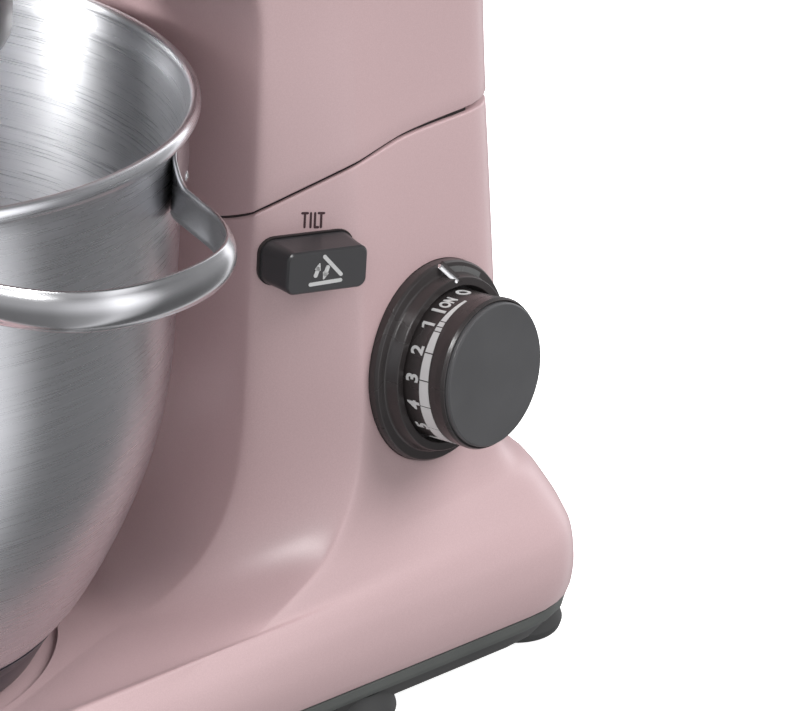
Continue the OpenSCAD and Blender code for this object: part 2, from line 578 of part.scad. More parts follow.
// Round-backed band of the handle, swept along an arch and trimmed where it meets its pads
function arch() = spline([for (s = [1, -1], p = s > 0 ? arch_half : [for (i = [5 : -1 : 0])
  arch_half[i]]) [p[0], s * p[1], 0]], 3);
arch_half = [[bowl_r - 15, 50], [bowl_r - 1, 44], [handle_reach - 23, 35],
  [handle_reach - 9.5, 26], [handle_reach - 2.8, 15], [handle_reach - 2.8, 6]];
pad_r = bowl_r + 1;           // outer face of the pads
module bowl_handle() color(steel) place() on_bowl() difference() {
  translate([0, 0, handle_z]) let (path = arch(), n = len(path))
    tube([for (i = [0 : n - 1]) let (
        d = unit(path[min(i + 1, n - 1)] - path[max(i - 1, 0)]), s = [-d[1], d[0], 0])
      [for (a = [15 : 30 : 345]) path[i] - s * 2.6 * cos(a) * (cos(a) > 0 ? 1 : 0.6)
        + [0, 0, 7 * sin(a)]]]);
  translate([0, 0, handle_z - 20]) cylinder(r = pad_r + 0.15, h = 40, $fn = 144);
}
// Two sheet pads that follow the bowl's wall and carry the ends of the handle
module handle_plates() color(steel) place() on_bowl() difference() {
  intersection() {
    for (s = [-1, 1]) rotate([0, 0, s * 30.5]) translate([bowl_r - 8, -12, handle_z - 9.6])
      cube([12, 24, 19.4]);
    translate([0, 0, handle_z - 20]) cylinder(r = pad_r, h = 40, $fn = 144);
  }
  rotate_extrude($fn = 144) polygon(concat([for (p = bowl_curve(0)) p + [0.05, 0]],
    [[0, rim_z]]));
}

base_housing();
base_plate();
feet();
base_screws();
column_frame();
column_cap();
bowl_lock_plate();
dial_bezel();
dial_pointer();
speed_switch();
control_board();
button_sleeve();
latch_pin();
hinge_pin();
cable_gland();
head_housing();
head_cover();
head_frame();
neck_plate();
latch_catch();
hub_ring();
ring_gear();
gear_case();
gear_case_screws();
motor_stator();
motor_brushes();
motor_bearings();
drive_bearings();
motor_rotor();
motor_shaft();
motor_fan();
planet_carrier();
worm_wheel();
pinion();
beater_shaft();
beater_pin();
flat_beater();
speed_dial();
dial_cap();
dial_scale();
dial_shaft();
tilt_button();
button_icon();
button_stem();
button_spring();
latch_lever();
bowl();
bowl_foot();
bowl_handle();
handle_plates();
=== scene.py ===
# Looks of the tilt-head stand mixer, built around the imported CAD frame.
# Sizes below are the design's own, in millimetres from the bowl's axis and the worktop;
# row() brings them into the frame, in metres. +Y is the rear and +X the dial's side.
import math

import bmesh
import bpy
import numpy as np
from mathutils import Matrix, Vector
from mathutils.bvhtree import BVHTree


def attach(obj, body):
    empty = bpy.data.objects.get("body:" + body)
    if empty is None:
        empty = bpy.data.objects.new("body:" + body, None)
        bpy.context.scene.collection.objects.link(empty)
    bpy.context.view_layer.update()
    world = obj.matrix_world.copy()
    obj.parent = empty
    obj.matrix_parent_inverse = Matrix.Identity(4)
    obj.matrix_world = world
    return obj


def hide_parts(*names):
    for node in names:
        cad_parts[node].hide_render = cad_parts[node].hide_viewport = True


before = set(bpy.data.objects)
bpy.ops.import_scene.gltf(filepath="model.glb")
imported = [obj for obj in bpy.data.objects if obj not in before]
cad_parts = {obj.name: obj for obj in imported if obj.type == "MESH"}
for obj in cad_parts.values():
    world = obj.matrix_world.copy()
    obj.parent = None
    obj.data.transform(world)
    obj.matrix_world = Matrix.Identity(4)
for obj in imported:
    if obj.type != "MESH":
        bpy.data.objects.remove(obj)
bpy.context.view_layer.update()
scene = bpy.context.scene
MM = 0.001
CENTRE = np.array([18.0, 67.5, 0.0])


def row(p):
    """A design point, in millimetres, as a point of the frame, in metres."""
    return (np.asarray(p, float) - CENTRE) * MM


# ------------------------------------------------------------------ camera, light, floor
def look(position, target, roll):
    """World matrix of a camera at position that looks at target, rolled by some degrees."""
    position, target = Vector(row(position)), Vector(row(target))
    ahead = (target - position).normalized()
    right = ahead.cross(Vector((0, 0, 1))).normalized()
    up = right.cross(ahead)
    c, s = math.cos(math.radians(roll)), math.sin(math.radians(roll))
    x, y, z = right * c + up * s, up * c - right * s, -ahead
    return Matrix(((x.x, y.x, z.x, position.x), (x.y, y.y, z.y, position.y),
                   (x.z, y.z, z.z, position.z), (0, 0, 0, 1)))


EYE, AIM, ROLL, FOCAL = (813.5, -571.7, 574.2), (91.1, 150, 119.7), 3.76, 168.1
lens = bpy.data.cameras.new("camera")
lens.sensor_width = 36
lens.lens = FOCAL
camera = bpy.data.objects.new("camera", lens)
scene.collection.objects.link(camera)
camera.matrix_world = look(EYE, AIM, ROLL)
scene.camera = camera
scene.view_settings.view_transform = "Standard"


def sun(name, towards, strength, angle):
    """Soft light that comes from a direction, and shows in no reflection."""
    data = bpy.data.lights.new(name, "SUN")
    data.energy = strength
    data.angle = math.radians(angle)
    ob = bpy.data.objects.new(name, data)
    ob.rotation_mode = "QUATERNION"
    ob.rotation_quaternion = Vector(towards).to_track_quat("Z", "Y")
    ob.visible_glossy = False
    scene.collection.objects.link(ob)
    return ob


def softbox(name, position, target, size, power):
    """Rectangular light in the frame's metres; the camera doesn't see it."""
    data = bpy.data.lights.new(name, "AREA")
    data.shape = "RECTANGLE"
    data.size, data.size_y = size
    data.energy = power
    ob = bpy.data.objects.new(name, data)
    ob.location = position
    ob.rotation_mode = "QUATERNION"
    ob.rotation_quaternion = (Vector(position) - Vector(target)).to_track_quat("Z", "Y")
    ob.visible_camera = False
    scene.collection.objects.link(ob)
    return ob


sun("sun_key", (0.40, 0.56, 0.66), 2.6, 40)
sun("sun_front", (0.22, -0.92, 0.4), 1.1, 60)
sun("sun_fill", (-0.2, -0.85, 0.5), 1.5, 90).data.use_shadow = False
softbox("box_front", (-1.06, -1.5, 0.95), (-0.03, 0.06, 0.2), (0.2, 1.3), 85)
box_sheen = softbox("box_sheen", (0.2, -0.88, 1.35), (0.05, 0.05, 0.1), (0.5, 0.5), 26)
box_sheen.visible_diffuse = False


def node(tree, kind, **sockets):
    """A shader node with some of its sockets set or linked; i0, i1 count its inputs."""
    n = tree.nodes.new(kind)
    for key, value in sockets.items():
        if hasattr(n, key) and key not in n.inputs:
            setattr(n, key, value)
            continue
        name = key.replace("_", " ")
        target = n.inputs[int(key[1:])] if key[0] == "i" and key[1:].isdigit() else n.inputs[name]
        if isinstance(value, bpy.types.NodeSocket):
            tree.links.new(value, target)
        else:
            target.default_value = value
    return n


def ramp(tree, value, stops):
    """Colour that runs through (position, colour) stops as a value goes from 0 to 1."""
    n = tree.nodes.new("ShaderNodeValToRGB")
    while len(n.color_ramp.elements) < len(stops):
        n.color_ramp.elements.new(0.5)
    for e, (pos, colour) in zip(n.color_ramp.elements, stops):
        e.position = pos
        e.color = (*colour, 1) if len(colour) == 3 else colour
    tree.links.new(value, n.inputs[0])
    return n.outputs[0]


# Reflections see a ring of bright and dark panels: (azimuth in degrees, brightness), dimmed
# by height: (0 straight down to 1 straight up, share)
PANELS = [(-180, 0.12), (-150, 0.12), (-141, 0.15), (-130, 2.0), (-120, 2.0), (-112, 0.4),
          (-95, 0.5), (-50, 0.6), (-5, 1.2), (14, 2.4), (26, 1.6), (38, 0.3), (56, 0.35),
          (72, 0.4), (90, 0.5), (94, 2.4), (101, 2.2), (106, 0.5), (140, 0.3), (180, 0.12)]
PANEL_HEIGHTS = [(0.28, 0.45), (0.55, 1), (0.72, 1), (0.92, 0.3)]
# Everything else is lit by an even light that falls off to the front left
FILL_TILT = (0.36, 0.36, 0)
FILL = [(0.0, (0.20, 0.20, 0.21)), (0.5, (0.24, 0.24, 0.24)), (1.0, (0.74, 0.74, 0.74))]


def studio(world):
    """The light from all around."""
    world.use_nodes = True
    t = world.node_tree
    t.nodes.clear()
    way = t.nodes.new("ShaderNodeTexCoord").outputs["Generated"]
    parts = node(t, "ShaderNodeSeparateXYZ", i0=way)
    slope = node(t, "ShaderNodeVectorMath", operation="DOT_PRODUCT", i0=way, i1=FILL_TILT)
    side = node(t, "ShaderNodeMath", operation="ADD", i0=slope.outputs["Value"], i1=0.5)
    fill = ramp(t, side.outputs[0], FILL)
    angle = node(t, "ShaderNodeMath", operation="ARCTAN2", i0=parts.outputs["Y"],
                 i1=parts.outputs["X"])
    around = node(t, "ShaderNodeMath", operation="MULTIPLY_ADD", i0=angle.outputs[0],
                  i1=1 / math.tau, i2=0.5)
    panels = ramp(t, around.outputs[0], [((a + 180) / 360, (v, v, v * 1.03)) for a, v in PANELS])
    height = node(t, "ShaderNodeMath", operation="MULTIPLY_ADD", i0=parts.outputs["Z"], i1=0.5,
                  i2=0.5)
    reach = ramp(t, height.outputs[0], [(h, (v, v, v)) for h, v in PANEL_HEIGHTS])
    dimmed = node(t, "ShaderNodeVectorMath", operation="MULTIPLY", i0=panels, i1=reach)
    ray = t.nodes.new("ShaderNodeLightPath")
    light = blend(t, ray.outputs["Is Glossy Ray"], fill, dimmed.outputs[0])
    back = node(t, "ShaderNodeBackground", Color=light, Strength=1.0)
    node(t, "ShaderNodeOutputWorld", Surface=back.outputs[0])


# ------------------------------------------------------------------ materials
def principled(name, **sockets):
    """A material with its tree, its shader and its object coordinates."""
    m = bpy.data.materials.new(name)
    m.use_nodes = True
    t = m.node_tree
    bsdf = next(n for n in t.nodes if n.type == "BSDF_PRINCIPLED")
    for key, value in sockets.items():
        bsdf.inputs[key.replace("_", " ")].default_value = value
    where = t.nodes.new("ShaderNodeTexCoord").outputs["Object"]
    return m, t, bsdf, where


def noise(t, where, scale, detail=2.0, rough=0.5):
    n = node(t, "ShaderNodeTexNoise", Vector=where, Scale=scale, Detail=detail, Roughness=rough)
    return n.outputs["Fac"]


def blend(t, fac, a, b):
    """Mix of two colours, or of two colour sockets."""
    n = t.nodes.new("ShaderNodeMix")
    n.data_type = "RGBA"
    t.links.new(fac, n.inputs[0])
    for socket, value in ((n.inputs[6], a), (n.inputs[7], b)):
        if isinstance(value, bpy.types.NodeSocket):
            t.links.new(value, socket)
        else:
            socket.default_value = (*value, 1)
    return n.outputs[2]


def spread(t, value, low, high, a=0.3, b=0.7):
    """The range a to b of a value, stretched to low to high."""
    n = node(t, "ShaderNodeMapRange", Value=value)
    n.inputs["From Min"].default_value = a
    n.inputs["From Max"].default_value = b
    n.inputs["To Min"].default_value = low
    n.inputs["To Max"].default_value = high
    return n.outputs[0]


def bump(t, bsdf, height, distance, strength=1.0):
    n = node(t, "ShaderNodeBump", Height=height, Distance=distance, Strength=strength)
    t.links.new(n.outputs[0], bsdf.inputs["Normal"])


def plastic(name, colour, rough, grain=900.0, depth=0.00002, tint=0.12, **extra):
    """Moulded plastic: a fine grain, and slight changes of tone and gloss."""
    m, t, bsdf, where = principled(name, **extra)
    fine = noise(t, where, grain, 3)
    wide = noise(t, where, 35, 4)
    light = tuple(min(1, c * (1 + tint)) for c in colour)
    deep = tuple(c * (1 - tint) for c in colour)
    t.links.new(blend(t, spread(t, wide, 0, 1), deep, light), bsdf.inputs["Base Color"])
    t.links.new(spread(t, wide, rough - 0.03, rough + 0.04), bsdf.inputs["Roughness"])
    bump(t, bsdf, fine, depth)
    return m


def metal(name, colour, rough, grain=500.0, depth=0.00001, tint=0.06):
    """Cast, turned or sheet metal with a fine grain."""
    return plastic(name, colour, rough, grain, depth, tint, Metallic=1.0)


def paint():
    """Satin enamel: dusty pink with a very fine orange peel and a soft clear coat."""
    m, t, bsdf, where = principled("paint_satin", Coat_Weight=0.35, Coat_Roughness=0.32,
                                   Specular_IOR_Level=0.5)
    wide = noise(t, where, 9, 3)
    fleck = noise(t, where, 2600, 2)
    tone = blend(t, spread(t, wide, 0, 1), (0.500, 0.346, 0.358), (0.520, 0.362, 0.373))
    tone2 = blend(t, spread(t, fleck, 0, 1, 0.35, 0.75), tone, (0.56, 0.40, 0.41))
    t.links.new(tone2, bsdf.inputs["Base Color"])
    t.links.new(spread(t, noise(t, where, 60, 3), 0.36, 0.42), bsdf.inputs["Roughness"])
    bump(t, bsdf, noise(t, where, 700, 3), 0.00002)
    return m


STREAK, STREAK_LENGTH, STREAK_DEPTH = 2400.0, 0.0012, 0.0000003


def brushed(name, colour, low, high):
    """Steel brushed in rings about the piece's own Z axis, its roughness from low to high."""
    m, t, bsdf, where = principled(name, Metallic=1.0, Anisotropic=0.84,
                                   Anisotropic_Rotation=0.25)
    p = node(t, "ShaderNodeSeparateXYZ", i0=where)
    x2 = node(t, "ShaderNodeMath", operation="MULTIPLY", i0=p.outputs[0], i1=p.outputs[0])
    y2 = node(t, "ShaderNodeMath", operation="MULTIPLY", i0=p.outputs[1], i1=p.outputs[1])
    rr = node(t, "ShaderNodeMath", operation="ADD", i0=x2.outputs[0], i1=y2.outputs[0])
    radius = node(t, "ShaderNodeMath", operation="SQRT", i0=rr.outputs[0])
    turn = node(t, "ShaderNodeMath", operation="ARCTAN2", i0=p.outputs[1], i1=p.outputs[0])
    along = node(t, "ShaderNodeMath", operation="MULTIPLY", i0=turn.outputs[0],
                 i1=STREAK_LENGTH)
    ringed = node(t, "ShaderNodeCombineXYZ", i0=along.outputs[0], i1=radius.outputs[0],
                  i2=p.outputs[2])
    lines = noise(t, ringed.outputs[0], STREAK, 4, 0.65)
    dim = tuple(c * 0.92 for c in colour)
    t.links.new(blend(t, spread(t, lines, 0, 1, 0.25, 0.75), dim, colour),
                bsdf.inputs["Base Color"])
    t.links.new(spread(t, lines, low, high), bsdf.inputs["Roughness"])
    bump(t, bsdf, lines, STREAK_DEPTH)
    tangent = t.nodes.new("ShaderNodeTangent")
    tangent.direction_type = "RADIAL"
    tangent.axis = "Z"
    t.links.new(tangent.outputs[0], bsdf.inputs["Tangent"])
    return m


scene.world = bpy.data.worlds.new("studio")
studio(scene.world)

PAINT = paint()
BOWL_STEEL = brushed("steel_brushed", (0.75, 0.755, 0.775), 0.25, 0.33)
HANDLE_STEEL = metal("steel_satin", (0.55, 0.55, 0.56), 0.22, 700, 0.000006)
POLISHED = metal("steel_polished", (0.75, 0.75, 0.76), 0.14, 900, 0.000004)
DARK = plastic("plastic_dark", (0.034, 0.029, 0.029), 0.27)
DARK_FACE = plastic("plastic_face", (0.074, 0.074, 0.077), 0.40, 1400)
BUTTON_FACE = plastic("plastic_button", (0.032, 0.031, 0.033), 0.34, 1400)
BASE_DARK = plastic("plastic_base", (0.050, 0.050, 0.049), 0.5)
BASE_UPPER = plastic("plastic_band", (0.085, 0.090, 0.086), 0.5)
BLACK = plastic("plastic_black", (0.012, 0.010, 0.010), 0.5)
WINDOW = plastic("window_grey", (0.12, 0.12, 0.12), 0.25, 1400, 0.000008)
RUBBER = plastic("rubber_black", (0.040, 0.040, 0.040), 0.62, 600, 0.00004)
FOOT_DARK = plastic("plastic_foot", (0.028, 0.032, 0.042), 0.3)
HUB_GREY = plastic("plastic_hub", (0.16, 0.155, 0.165), 0.36)
PRINT = plastic("print_grey", (0.62, 0.62, 0.62), 0.5, 1800, 0.000006)
LABEL = plastic("print_dark", (0.040, 0.014, 0.018), 0.6, 1800, 0.000004)
SILVER = metal("trim_silver", (0.80, 0.80, 0.80), 0.22, 1200, 0.000004)
CAST = metal("cast_aluminium", (0.52, 0.53, 0.55), 0.46, 420, 0.00006)
ZINC = metal("zinc_plate", (0.62, 0.63, 0.66), 0.3, 300, 0.00002, 0.14)
CORE = metal("motor_laminations", (0.30, 0.28, 0.27), 0.5, 260, 0.00004, 0.2)
BOARD = plastic("circuit_resin", (0.015, 0.10, 0.045), 0.4, 300, 0.00003, 0.25)
CARBON = plastic("carbon", (0.03, 0.03, 0.032), 0.6, 800)
NYLON = plastic("nylon_gear", (0.70, 0.66, 0.56), 0.42, 500)
COATED = plastic("beater_coat", (0.62, 0.63, 0.65), 0.42, 700, 0.00003, Metallic=0.6)


# ------------------------------------------------------------------ mesh tools
def unit(v):
    v = np.asarray(v, float)
    return v / np.linalg.norm(v)


def mix(a, b, t):
    return a + (b - a) * t


def spline(points, k):
    """Quadratic B-spline through control points (or rows of them), k steps a span."""
    p = [np.asarray(q, float) for q in points]
    out = []
    for i in range(len(p) - 2):
        a = p[0] if i == 0 else (p[i] + p[i + 1]) / 2
        c = p[-1] if i == len(p) - 3 else (p[i + 1] + p[i + 2]) / 2
        out += [mix(mix(a, p[i + 1], j / k), mix(p[i + 1], c, j / k), j / k) for j in range(k)]
    return np.array(out + [p[-1]])


def arc(cx, cy, r, start, end, k=8):
    """Points of an arc, angles in degrees."""
    return [np.array((cx + r * math.cos(math.radians(a)), cy + r * math.sin(math.radians(a))))
            for a in np.linspace(start, end, k + 1)]


STRAIGHT = -0.9999  # cosine of a corner that needs no rounding


def rounded(corners, k=4):
    """Outline through corners (x, y, radius), each one rounded off."""
    out, n = [], len(corners)
    for i, (x, y, r) in enumerate(corners):
        p = np.array((x, y), float)
        before = np.array(corners[i - 1][:2], float) - p
        after = np.array(corners[(i + 1) % n][:2], float) - p
        u, v = unit(before), unit(after)
        if r <= 0 or u @ v < STRAIGHT:
            out.append(p)
            continue
        half = math.acos(float(np.clip(u @ v, -1, 1))) / 2
        reach = min(r / math.tan(half), 0.48 * np.linalg.norm(before),
                    0.48 * np.linalg.norm(after))
        r = reach * math.tan(half)
        c = p + unit(u + v) * r / math.sin(half)
        s, e = p + u * reach - c, p + v * reach - c
        a0 = math.atan2(s[1], s[0])
        turn = (math.atan2(e[1], e[0]) - a0 + math.pi) % (2 * math.pi) - math.pi
        out += [c + r * np.array((math.cos(a0 + turn * j / k), math.sin(a0 + turn * j / k)))
                for j in range(k + 1)]
    return out


def frame_at(origin, *turns):
    """Matrix of a local frame at a design point, turned by (degrees, axis) pairs."""
    m = Matrix.Translation(Vector(row(origin)))
    for angle, axis in turns:
        m = m @ Matrix.Rotation(math.radians(angle), 4, axis)
    return m


BODY = frame_at((0, 0, 0))
DIAL = frame_at((82.6, 174.6, 108.8), (6.5, "Z"), (84, "Y"))
BUTTON = frame_at((74.6, 124.8, 152), (-18, "Z"), (90, "Y"))
PLANET = frame_at((0, -26, 0))
HANDLE = frame_at((0, 0, 0), (5, "Z"))


def solid(name, verts, faces, at=BODY):
    """An object from points in millimetres of a local frame, cleaned up."""
    me = bpy.data.meshes.new(name)
    me.from_pydata([tuple(np.asarray(v, float) * MM) for v in verts], [],
                   [tuple(int(i) for i in f) for f in faces])
    bm = bmesh.new()
    bm.from_mesh(me)
    bmesh.ops.remove_doubles(bm, verts=bm.verts, dist=1e-6)
    bmesh.ops.dissolve_degenerate(bm, edges=bm.edges, dist=1e-7)
    bmesh.ops.recalc_face_normals(bm, faces=bm.faces)
    bm.to_mesh(me)
    bm.free()
    ob = bpy.data.objects.new(name, me)
    scene.collection.objects.link(ob)
    ob.matrix_world = at
    return ob


def loft(rings, cyclic=False):
    """Points and faces of a skin over rings of equally many points, closed at its ends."""
    n, m = len(rings[0]), len(rings)
    verts = [p for ring in rings for p in ring]
    faces = []
    for v in range(m if cyclic else m - 1):
        w = (v + 1) % m
        faces += [(v * n + u, v * n + (u + 1) % n, w * n + (u + 1) % n, w * n + u)
                  for u in range(n)]
    if not cyclic:
        faces += [tuple(range(n))[::-1], tuple((m - 1) * n + u for u in range(n))]
    return verts, faces


def join(*parts):
    """Several (verts, faces) as one."""
    verts, faces = [], []
    for v, f in parts:
        faces += [tuple(i + len(verts) for i in face) for face in f]
        verts += list(v)
    return verts, faces


def lathe(profile, n=128):
    """Closed outline (r, z) turned about Z."""
    turn = np.linspace(0, 2 * math.pi, n, endpoint=False)
    return loft([[(r * math.cos(a), r * math.sin(a), z) for a in turn] for r, z in profile],
                cyclic=True)


def moved(shape, offset=(0, 0, 0), matrix=None):
    """A shape turned by a matrix and then shifted."""
    verts, faces = shape
    m = matrix or Matrix.Identity(4)
    return [tuple(m @ Vector(v) + Vector(offset)) for v in verts], faces


def heading(path, i):
    """Direction of a path at its point i."""
    return unit(path[min(i + 1, len(path) - 1)] - path[max(i - 1, 0)])


def sweep(path, section):
    """Section (sideways, up) carried along a path."""
    path = [np.asarray(p, float) for p in path]
    rings = []
    for i, p in enumerate(path):
        d = heading(path, i)
        side_way = unit(np.cross(d, (0, 0, 1)))
        upward = np.cross(side_way, d)
        rings.append([p + side_way * a + upward * b for a, b in section])
    return loft(rings)


def prism(outline, steps):
    """Outline function of an inset, stacked at (inset, z) steps."""
    return loft([[(x, y, z) for x, y in outline(inset)] for inset, z in steps])


def rect(w, h, r, cx=0.0, cy=0.0):
    """Rounded rectangle as a function of its inset."""
    def outline(i):
        a, b, c = w / 2 - i, h / 2 - i, max(r - i, 0.3)
        return [p + (cx, cy) for p in rounded(
            [(-a, -b, c), (a, -b, c), (a, b, c), (-a, b, c)], 6)]
    return outline


def carve(ob, *cutters):
    """Cuts exact openings and removes the cutters."""
    for c in cutters:
        mod = ob.modifiers.new("cut", "BOOLEAN")
        mod.object = c
        mod.solver = "EXACT"
    mesh = bpy.data.meshes.new_from_object(ob.evaluated_get(
        bpy.context.evaluated_depsgraph_get()))
    ob.modifiers.clear()
    ob.data = mesh
    for c in cutters:
        bpy.data.objects.remove(c)
    return ob


def cylinder(r, z0, z1, at=BODY, n=96):
    """Round cutter about a local Z axis."""
    return solid("cutter", *lathe([(0, z0), (r, z0), (r, z1), (0, z1)], n), at)


def block(size, centre, at=BODY):
    """Rectangular cutter."""
    (a, b, c), (x, y, z) = (np.array(size) / 2), centre
    verts = [(x + i * a, y + j * b, z + k * c) for k in (-1, 1)
             for i, j in ((-1, -1), (1, -1), (1, 1), (-1, 1))]
    return solid("cutter", verts, [(3, 2, 1, 0), (4, 5, 6, 7), (0, 1, 5, 4), (1, 2, 6, 5),
                                   (2, 3, 7, 6), (3, 0, 4, 7)], at)


def finish_piece(ob, body, material, slot, nodes=(), sharp=38, weighted=False):
    """Shading and material of one piece; it joins its body and hides the frame's parts that it
    replaces.
    """
    me = ob.data
    me.materials.clear()
    me.materials.append(material)
    for poly in me.polygons:
        poly.use_smooth = True
    me.set_sharp_from_angle(angle=math.radians(sharp))
    if weighted:
        mod = ob.modifiers.new("normals", "WEIGHTED_NORMAL")
        mod.keep_sharp = True
    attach(ob, body)
    if nodes:
        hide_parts(*nodes)
    return ob


def piece(name, shape, body, material, slot, nodes=(), at=BODY, **shading):
    """A finished piece straight from its points and faces."""
    return finish_piece(solid(name, *shape, at), body, material, slot, nodes, **shading)


# ------------------------------------------------------------------ the body's skin
# Sixteen numbers a level: 1 for a rounded nose or 0 for the column's face; front centre
# y, z; front edge x, y, z; side edge x, y, z; half widths of the side in its middle,
# before the rear corner and at it; height of the side; rear face y, corner size, z
SKIRT_Z, DECK_Z, GROOVE, WALL, EDGE, SEAT_R = 18.5, 35, 1.2, 3, 2.2, 74
BASE_LEVELS = [
  [1, -110, SKIRT_Z, 103.5, -20, SKIRT_Z, 103.5, 50, SKIRT_Z,
    103.5, 103.5, 103, SKIRT_Z, 240, 36, SKIRT_Z],
  [1, -112, 26, 105.5, -20, 27, 105.5, 55, 27, 105.5, 105.5, 105, 27, 241, 38, 27],
  [1, -110, 36, 103.5, -20, 38, 103.5, 58, 38, 105, 105, 104, 40, 239, 38, 40],
  [1, -105, 42, 99.5, -20, 43.5, 99.5, 62, 44, 103.4, 103.5, 101, 46, 237, 38, 47],
  [1, -101, 43, 96.5, -20, 45, 98.5, 76, 47, 101.8, 102, 98, 50, 235, 37, 52],
  [1, -82, DECK_Z, 83, -6, DECK_Z, 98, 92, 47, 100, 99, 95, 54, 233, 36, 56],
  [0, 60, DECK_Z, 56, 72, DECK_Z + 3, 97.5, 101, 51.5, 98.5, 96, 92, 58, 231, 35, 60],
  [0, 88, 36, 60, 84, 43, 97, 110, 56, 96.8, 93.5, 89.5, 61, 228, 33, 63.5],
  [0, 106, 44, 64, 97, 55, 95.3, 121, 61.5, 94.5, 91.2, 86.5, 64, 221, 29, 66],
  [0, 115, 60, 66.8, 104.5, 70, 92, 133, 74, 90, 88, 83.5, 71, 217.5, 27, 72],
  [0, 117.5, 84, 68.2, 108.2, 88, 88.6, 139.6, 90, 87, 85, 80.5, 88, 217, 26, 88],
  [0, 118, 118, 68.4, 108.6, 119, 84.9, 141.4, 119, 83.2, 81.6, 76.3, 119, 216.5, 25, 119],
  [0, 118, 148, 68.4, 108.6, 166.6, 77, 141.4, 177.8, 75.2, 73.8, 68.2, 182, 214, 24, 179]]
SEAM_LEVEL = [1, -85, 270, 77, -10, 270, 77, 50, 270, 76, 73, 68, 270, 211.5, 30, 270]
NECK_LEVELS = [
  [0, 118, 148 + GROOVE, 68.4, 108.6, 166.6 + GROOVE, 77, 141.4, 177.8 + GROOVE,
    75, 73.5, 67.9, 182 + GROOVE, 214, 24, 189],
  [0, 118, 196, 68.3, 108.4, 200, 73.9, 141.4, 204, 72.5, 71, 65.4, 207, 213, 24, 210],
  [0, 117, 226, 68.2, 108.2, 229, 70.2, 141.2, 231, 69.5, 68.5, 63.5, 233, 212.5, 24, 234],
  [0, 112, 238, 67, 103, 240, 70, 135, 243, 70.5, 68.6, 63.5, 245, 212, 25, 245],
  [0, 96, 245, 64, 90, 247, 71, 120, 251, 71.5, 69.5, 64, 252, 212, 26, 252],
  [0, 70, 247, 60, 74, 250, 72, 104, 254.5, 72.6, 70.5, 65, 256, 212, 27, 256],
  [1, -66, 249, 62, -8, 250, 73, 88, 256.5, 73.6, 71.3, 66, 259, 212, 28, 259],
  [1, -78, 252, 72, -10, 254, 74, 70, 258.5, 74.5, 72, 67, 262, 212, 29, 262],
  [1, -83, 257, 75.5, -10, 259, 75.5, 60, 262, 75.5, 72.6, 67.6, 266, 212, 30, 266]]
CROWN_LEVELS = [
  [1, -86, 284, 77.5, -10, 285, 77.5, 50, 286, 76, 73, 68, 287, 211, 30, 287],
  [1, -84, 303, 76, -10, 303, 76, 50, 303, 74.5, 71.5, 66, 302, 209, 30, 301],
  [1, -74, 324, 69, -10, 323, 69, 50, 322, 67, 64, 58, 319, 201, 28, 316],
  [1, -52, 336, 52, -10, 336, 52, 50, 335, 50, 47, 42, 331, 184, 20, 328],
  [1, -22, 340, 22, -4, 340, 22, 50, 340, 20, 18, 15, 337, 150, 7, 336]]


def level(r):
    """Control points of one half of a level, from the front centre to the rear centre."""
    front = np.array((0, r[1], r[2]))
    e1, e2 = np.array(r[3:6]), np.array(r[6:9])
    if r[0] == 1:
        a = (r[3] * 0.5, r[1], r[2])
        b = (r[3] * 0.93, mix(r[1], r[4], 0.28), mix(r[2], r[5], 0.3))
    else:
        a = (r[3] * 0.32, mix(r[1], r[4], 0.32) + 2.8, mix(r[2], r[5], 0.1))
        b = (r[3] * 0.7, mix(r[1], r[4], 0.7) + 1.8, mix(r[2], r[5], 0.5))
    s = np.array((r[10], r[13] - 2 * r[14], r[12]))
    return np.array([
        front, a, b, e1 + unit(b - e1) * EDGE, e1 + unit(e2 - e1) * EDGE, (e1 + e2) / 2,
        e2 + unit(e1 - e2) * EDGE, e2 + unit(s - e2) * EDGE,
        (r[9], (r[7] + s[1]) / 2, (r[8] + r[12]) / 2), s,
        (r[11], r[13], mix(r[12], r[15], 0.1)), (r[11] - 2 * r[14], r[13], r[15]),
        (0, r[13], r[15])])


def inset(r, t, d):
    """The level moved inwards by t, and down by d where the skin lies flat."""
    return [r[0], r[1] + t, r[2] - d, r[3] - t, r[4] + t, r[5] - d, r[6] - t,
            r[7] + t * (1 - r[0]), r[8] - d, r[9] - t, r[10] - t, r[11] - t, r[12] - d,
            r[13] - t, r[14], r[15] - d]


def lifted(r, z):
    """The level raised by z."""
    return [q + z if i in (2, 5, 8, 12, 15) else q for i, q in enumerate(r)]


def surface(rows, ku=9, kv=9):
    """Rings of the skin over some levels: array of (ring, point, xyz)."""
    along = spline(np.array([level(r) for r in rows]), kv)
    half = spline(np.swapaxes(along, 0, 1), ku).swapaxes(0, 1)
    return np.concatenate([half, half[:, -2:0:-1] * (-1, 1, 1)], 1)


def lip(ring, r, way, steps=4):
    """Rings that round a shell's edge off, from its outer face inwards."""
    d = np.roll(ring, -1, 0) - np.roll(ring, 1, 0)
    inward = np.stack([-d[:, 1], d[:, 0], np.zeros(len(d))], 1)
    inward /= np.linalg.norm(inward, axis=1)[:, None]
    return [ring + inward * r * (1 - math.cos(a)) + np.array((0, 0, way * r * math.sin(a)))
            for a in np.linspace(0, math.pi / 2, steps + 1)[1:]]


def eased(rings, end, r, way):
    """The rings with one end pulled back by the lip's radius."""
    rings = rings.copy()
    rings[end, :, 2] -= way * r
    return rings


def open_shell(name, rows, drops, low_lip, high_lip):
    """A shell that is open below and above, with rounded lips."""
    outer = eased(eased(surface(rows), 0, low_lip, -1), -1, high_lip, 1)
    inner = surface([inset(r, WALL, d) for r, d in zip(rows, drops)])
    rings = (list(outer) + lip(outer[-1], high_lip, 1) + list(inner[::-1])
             + lip(outer[0], low_lip, -1)[::-1])
    return solid(name, *loft(rings, cyclic=True))


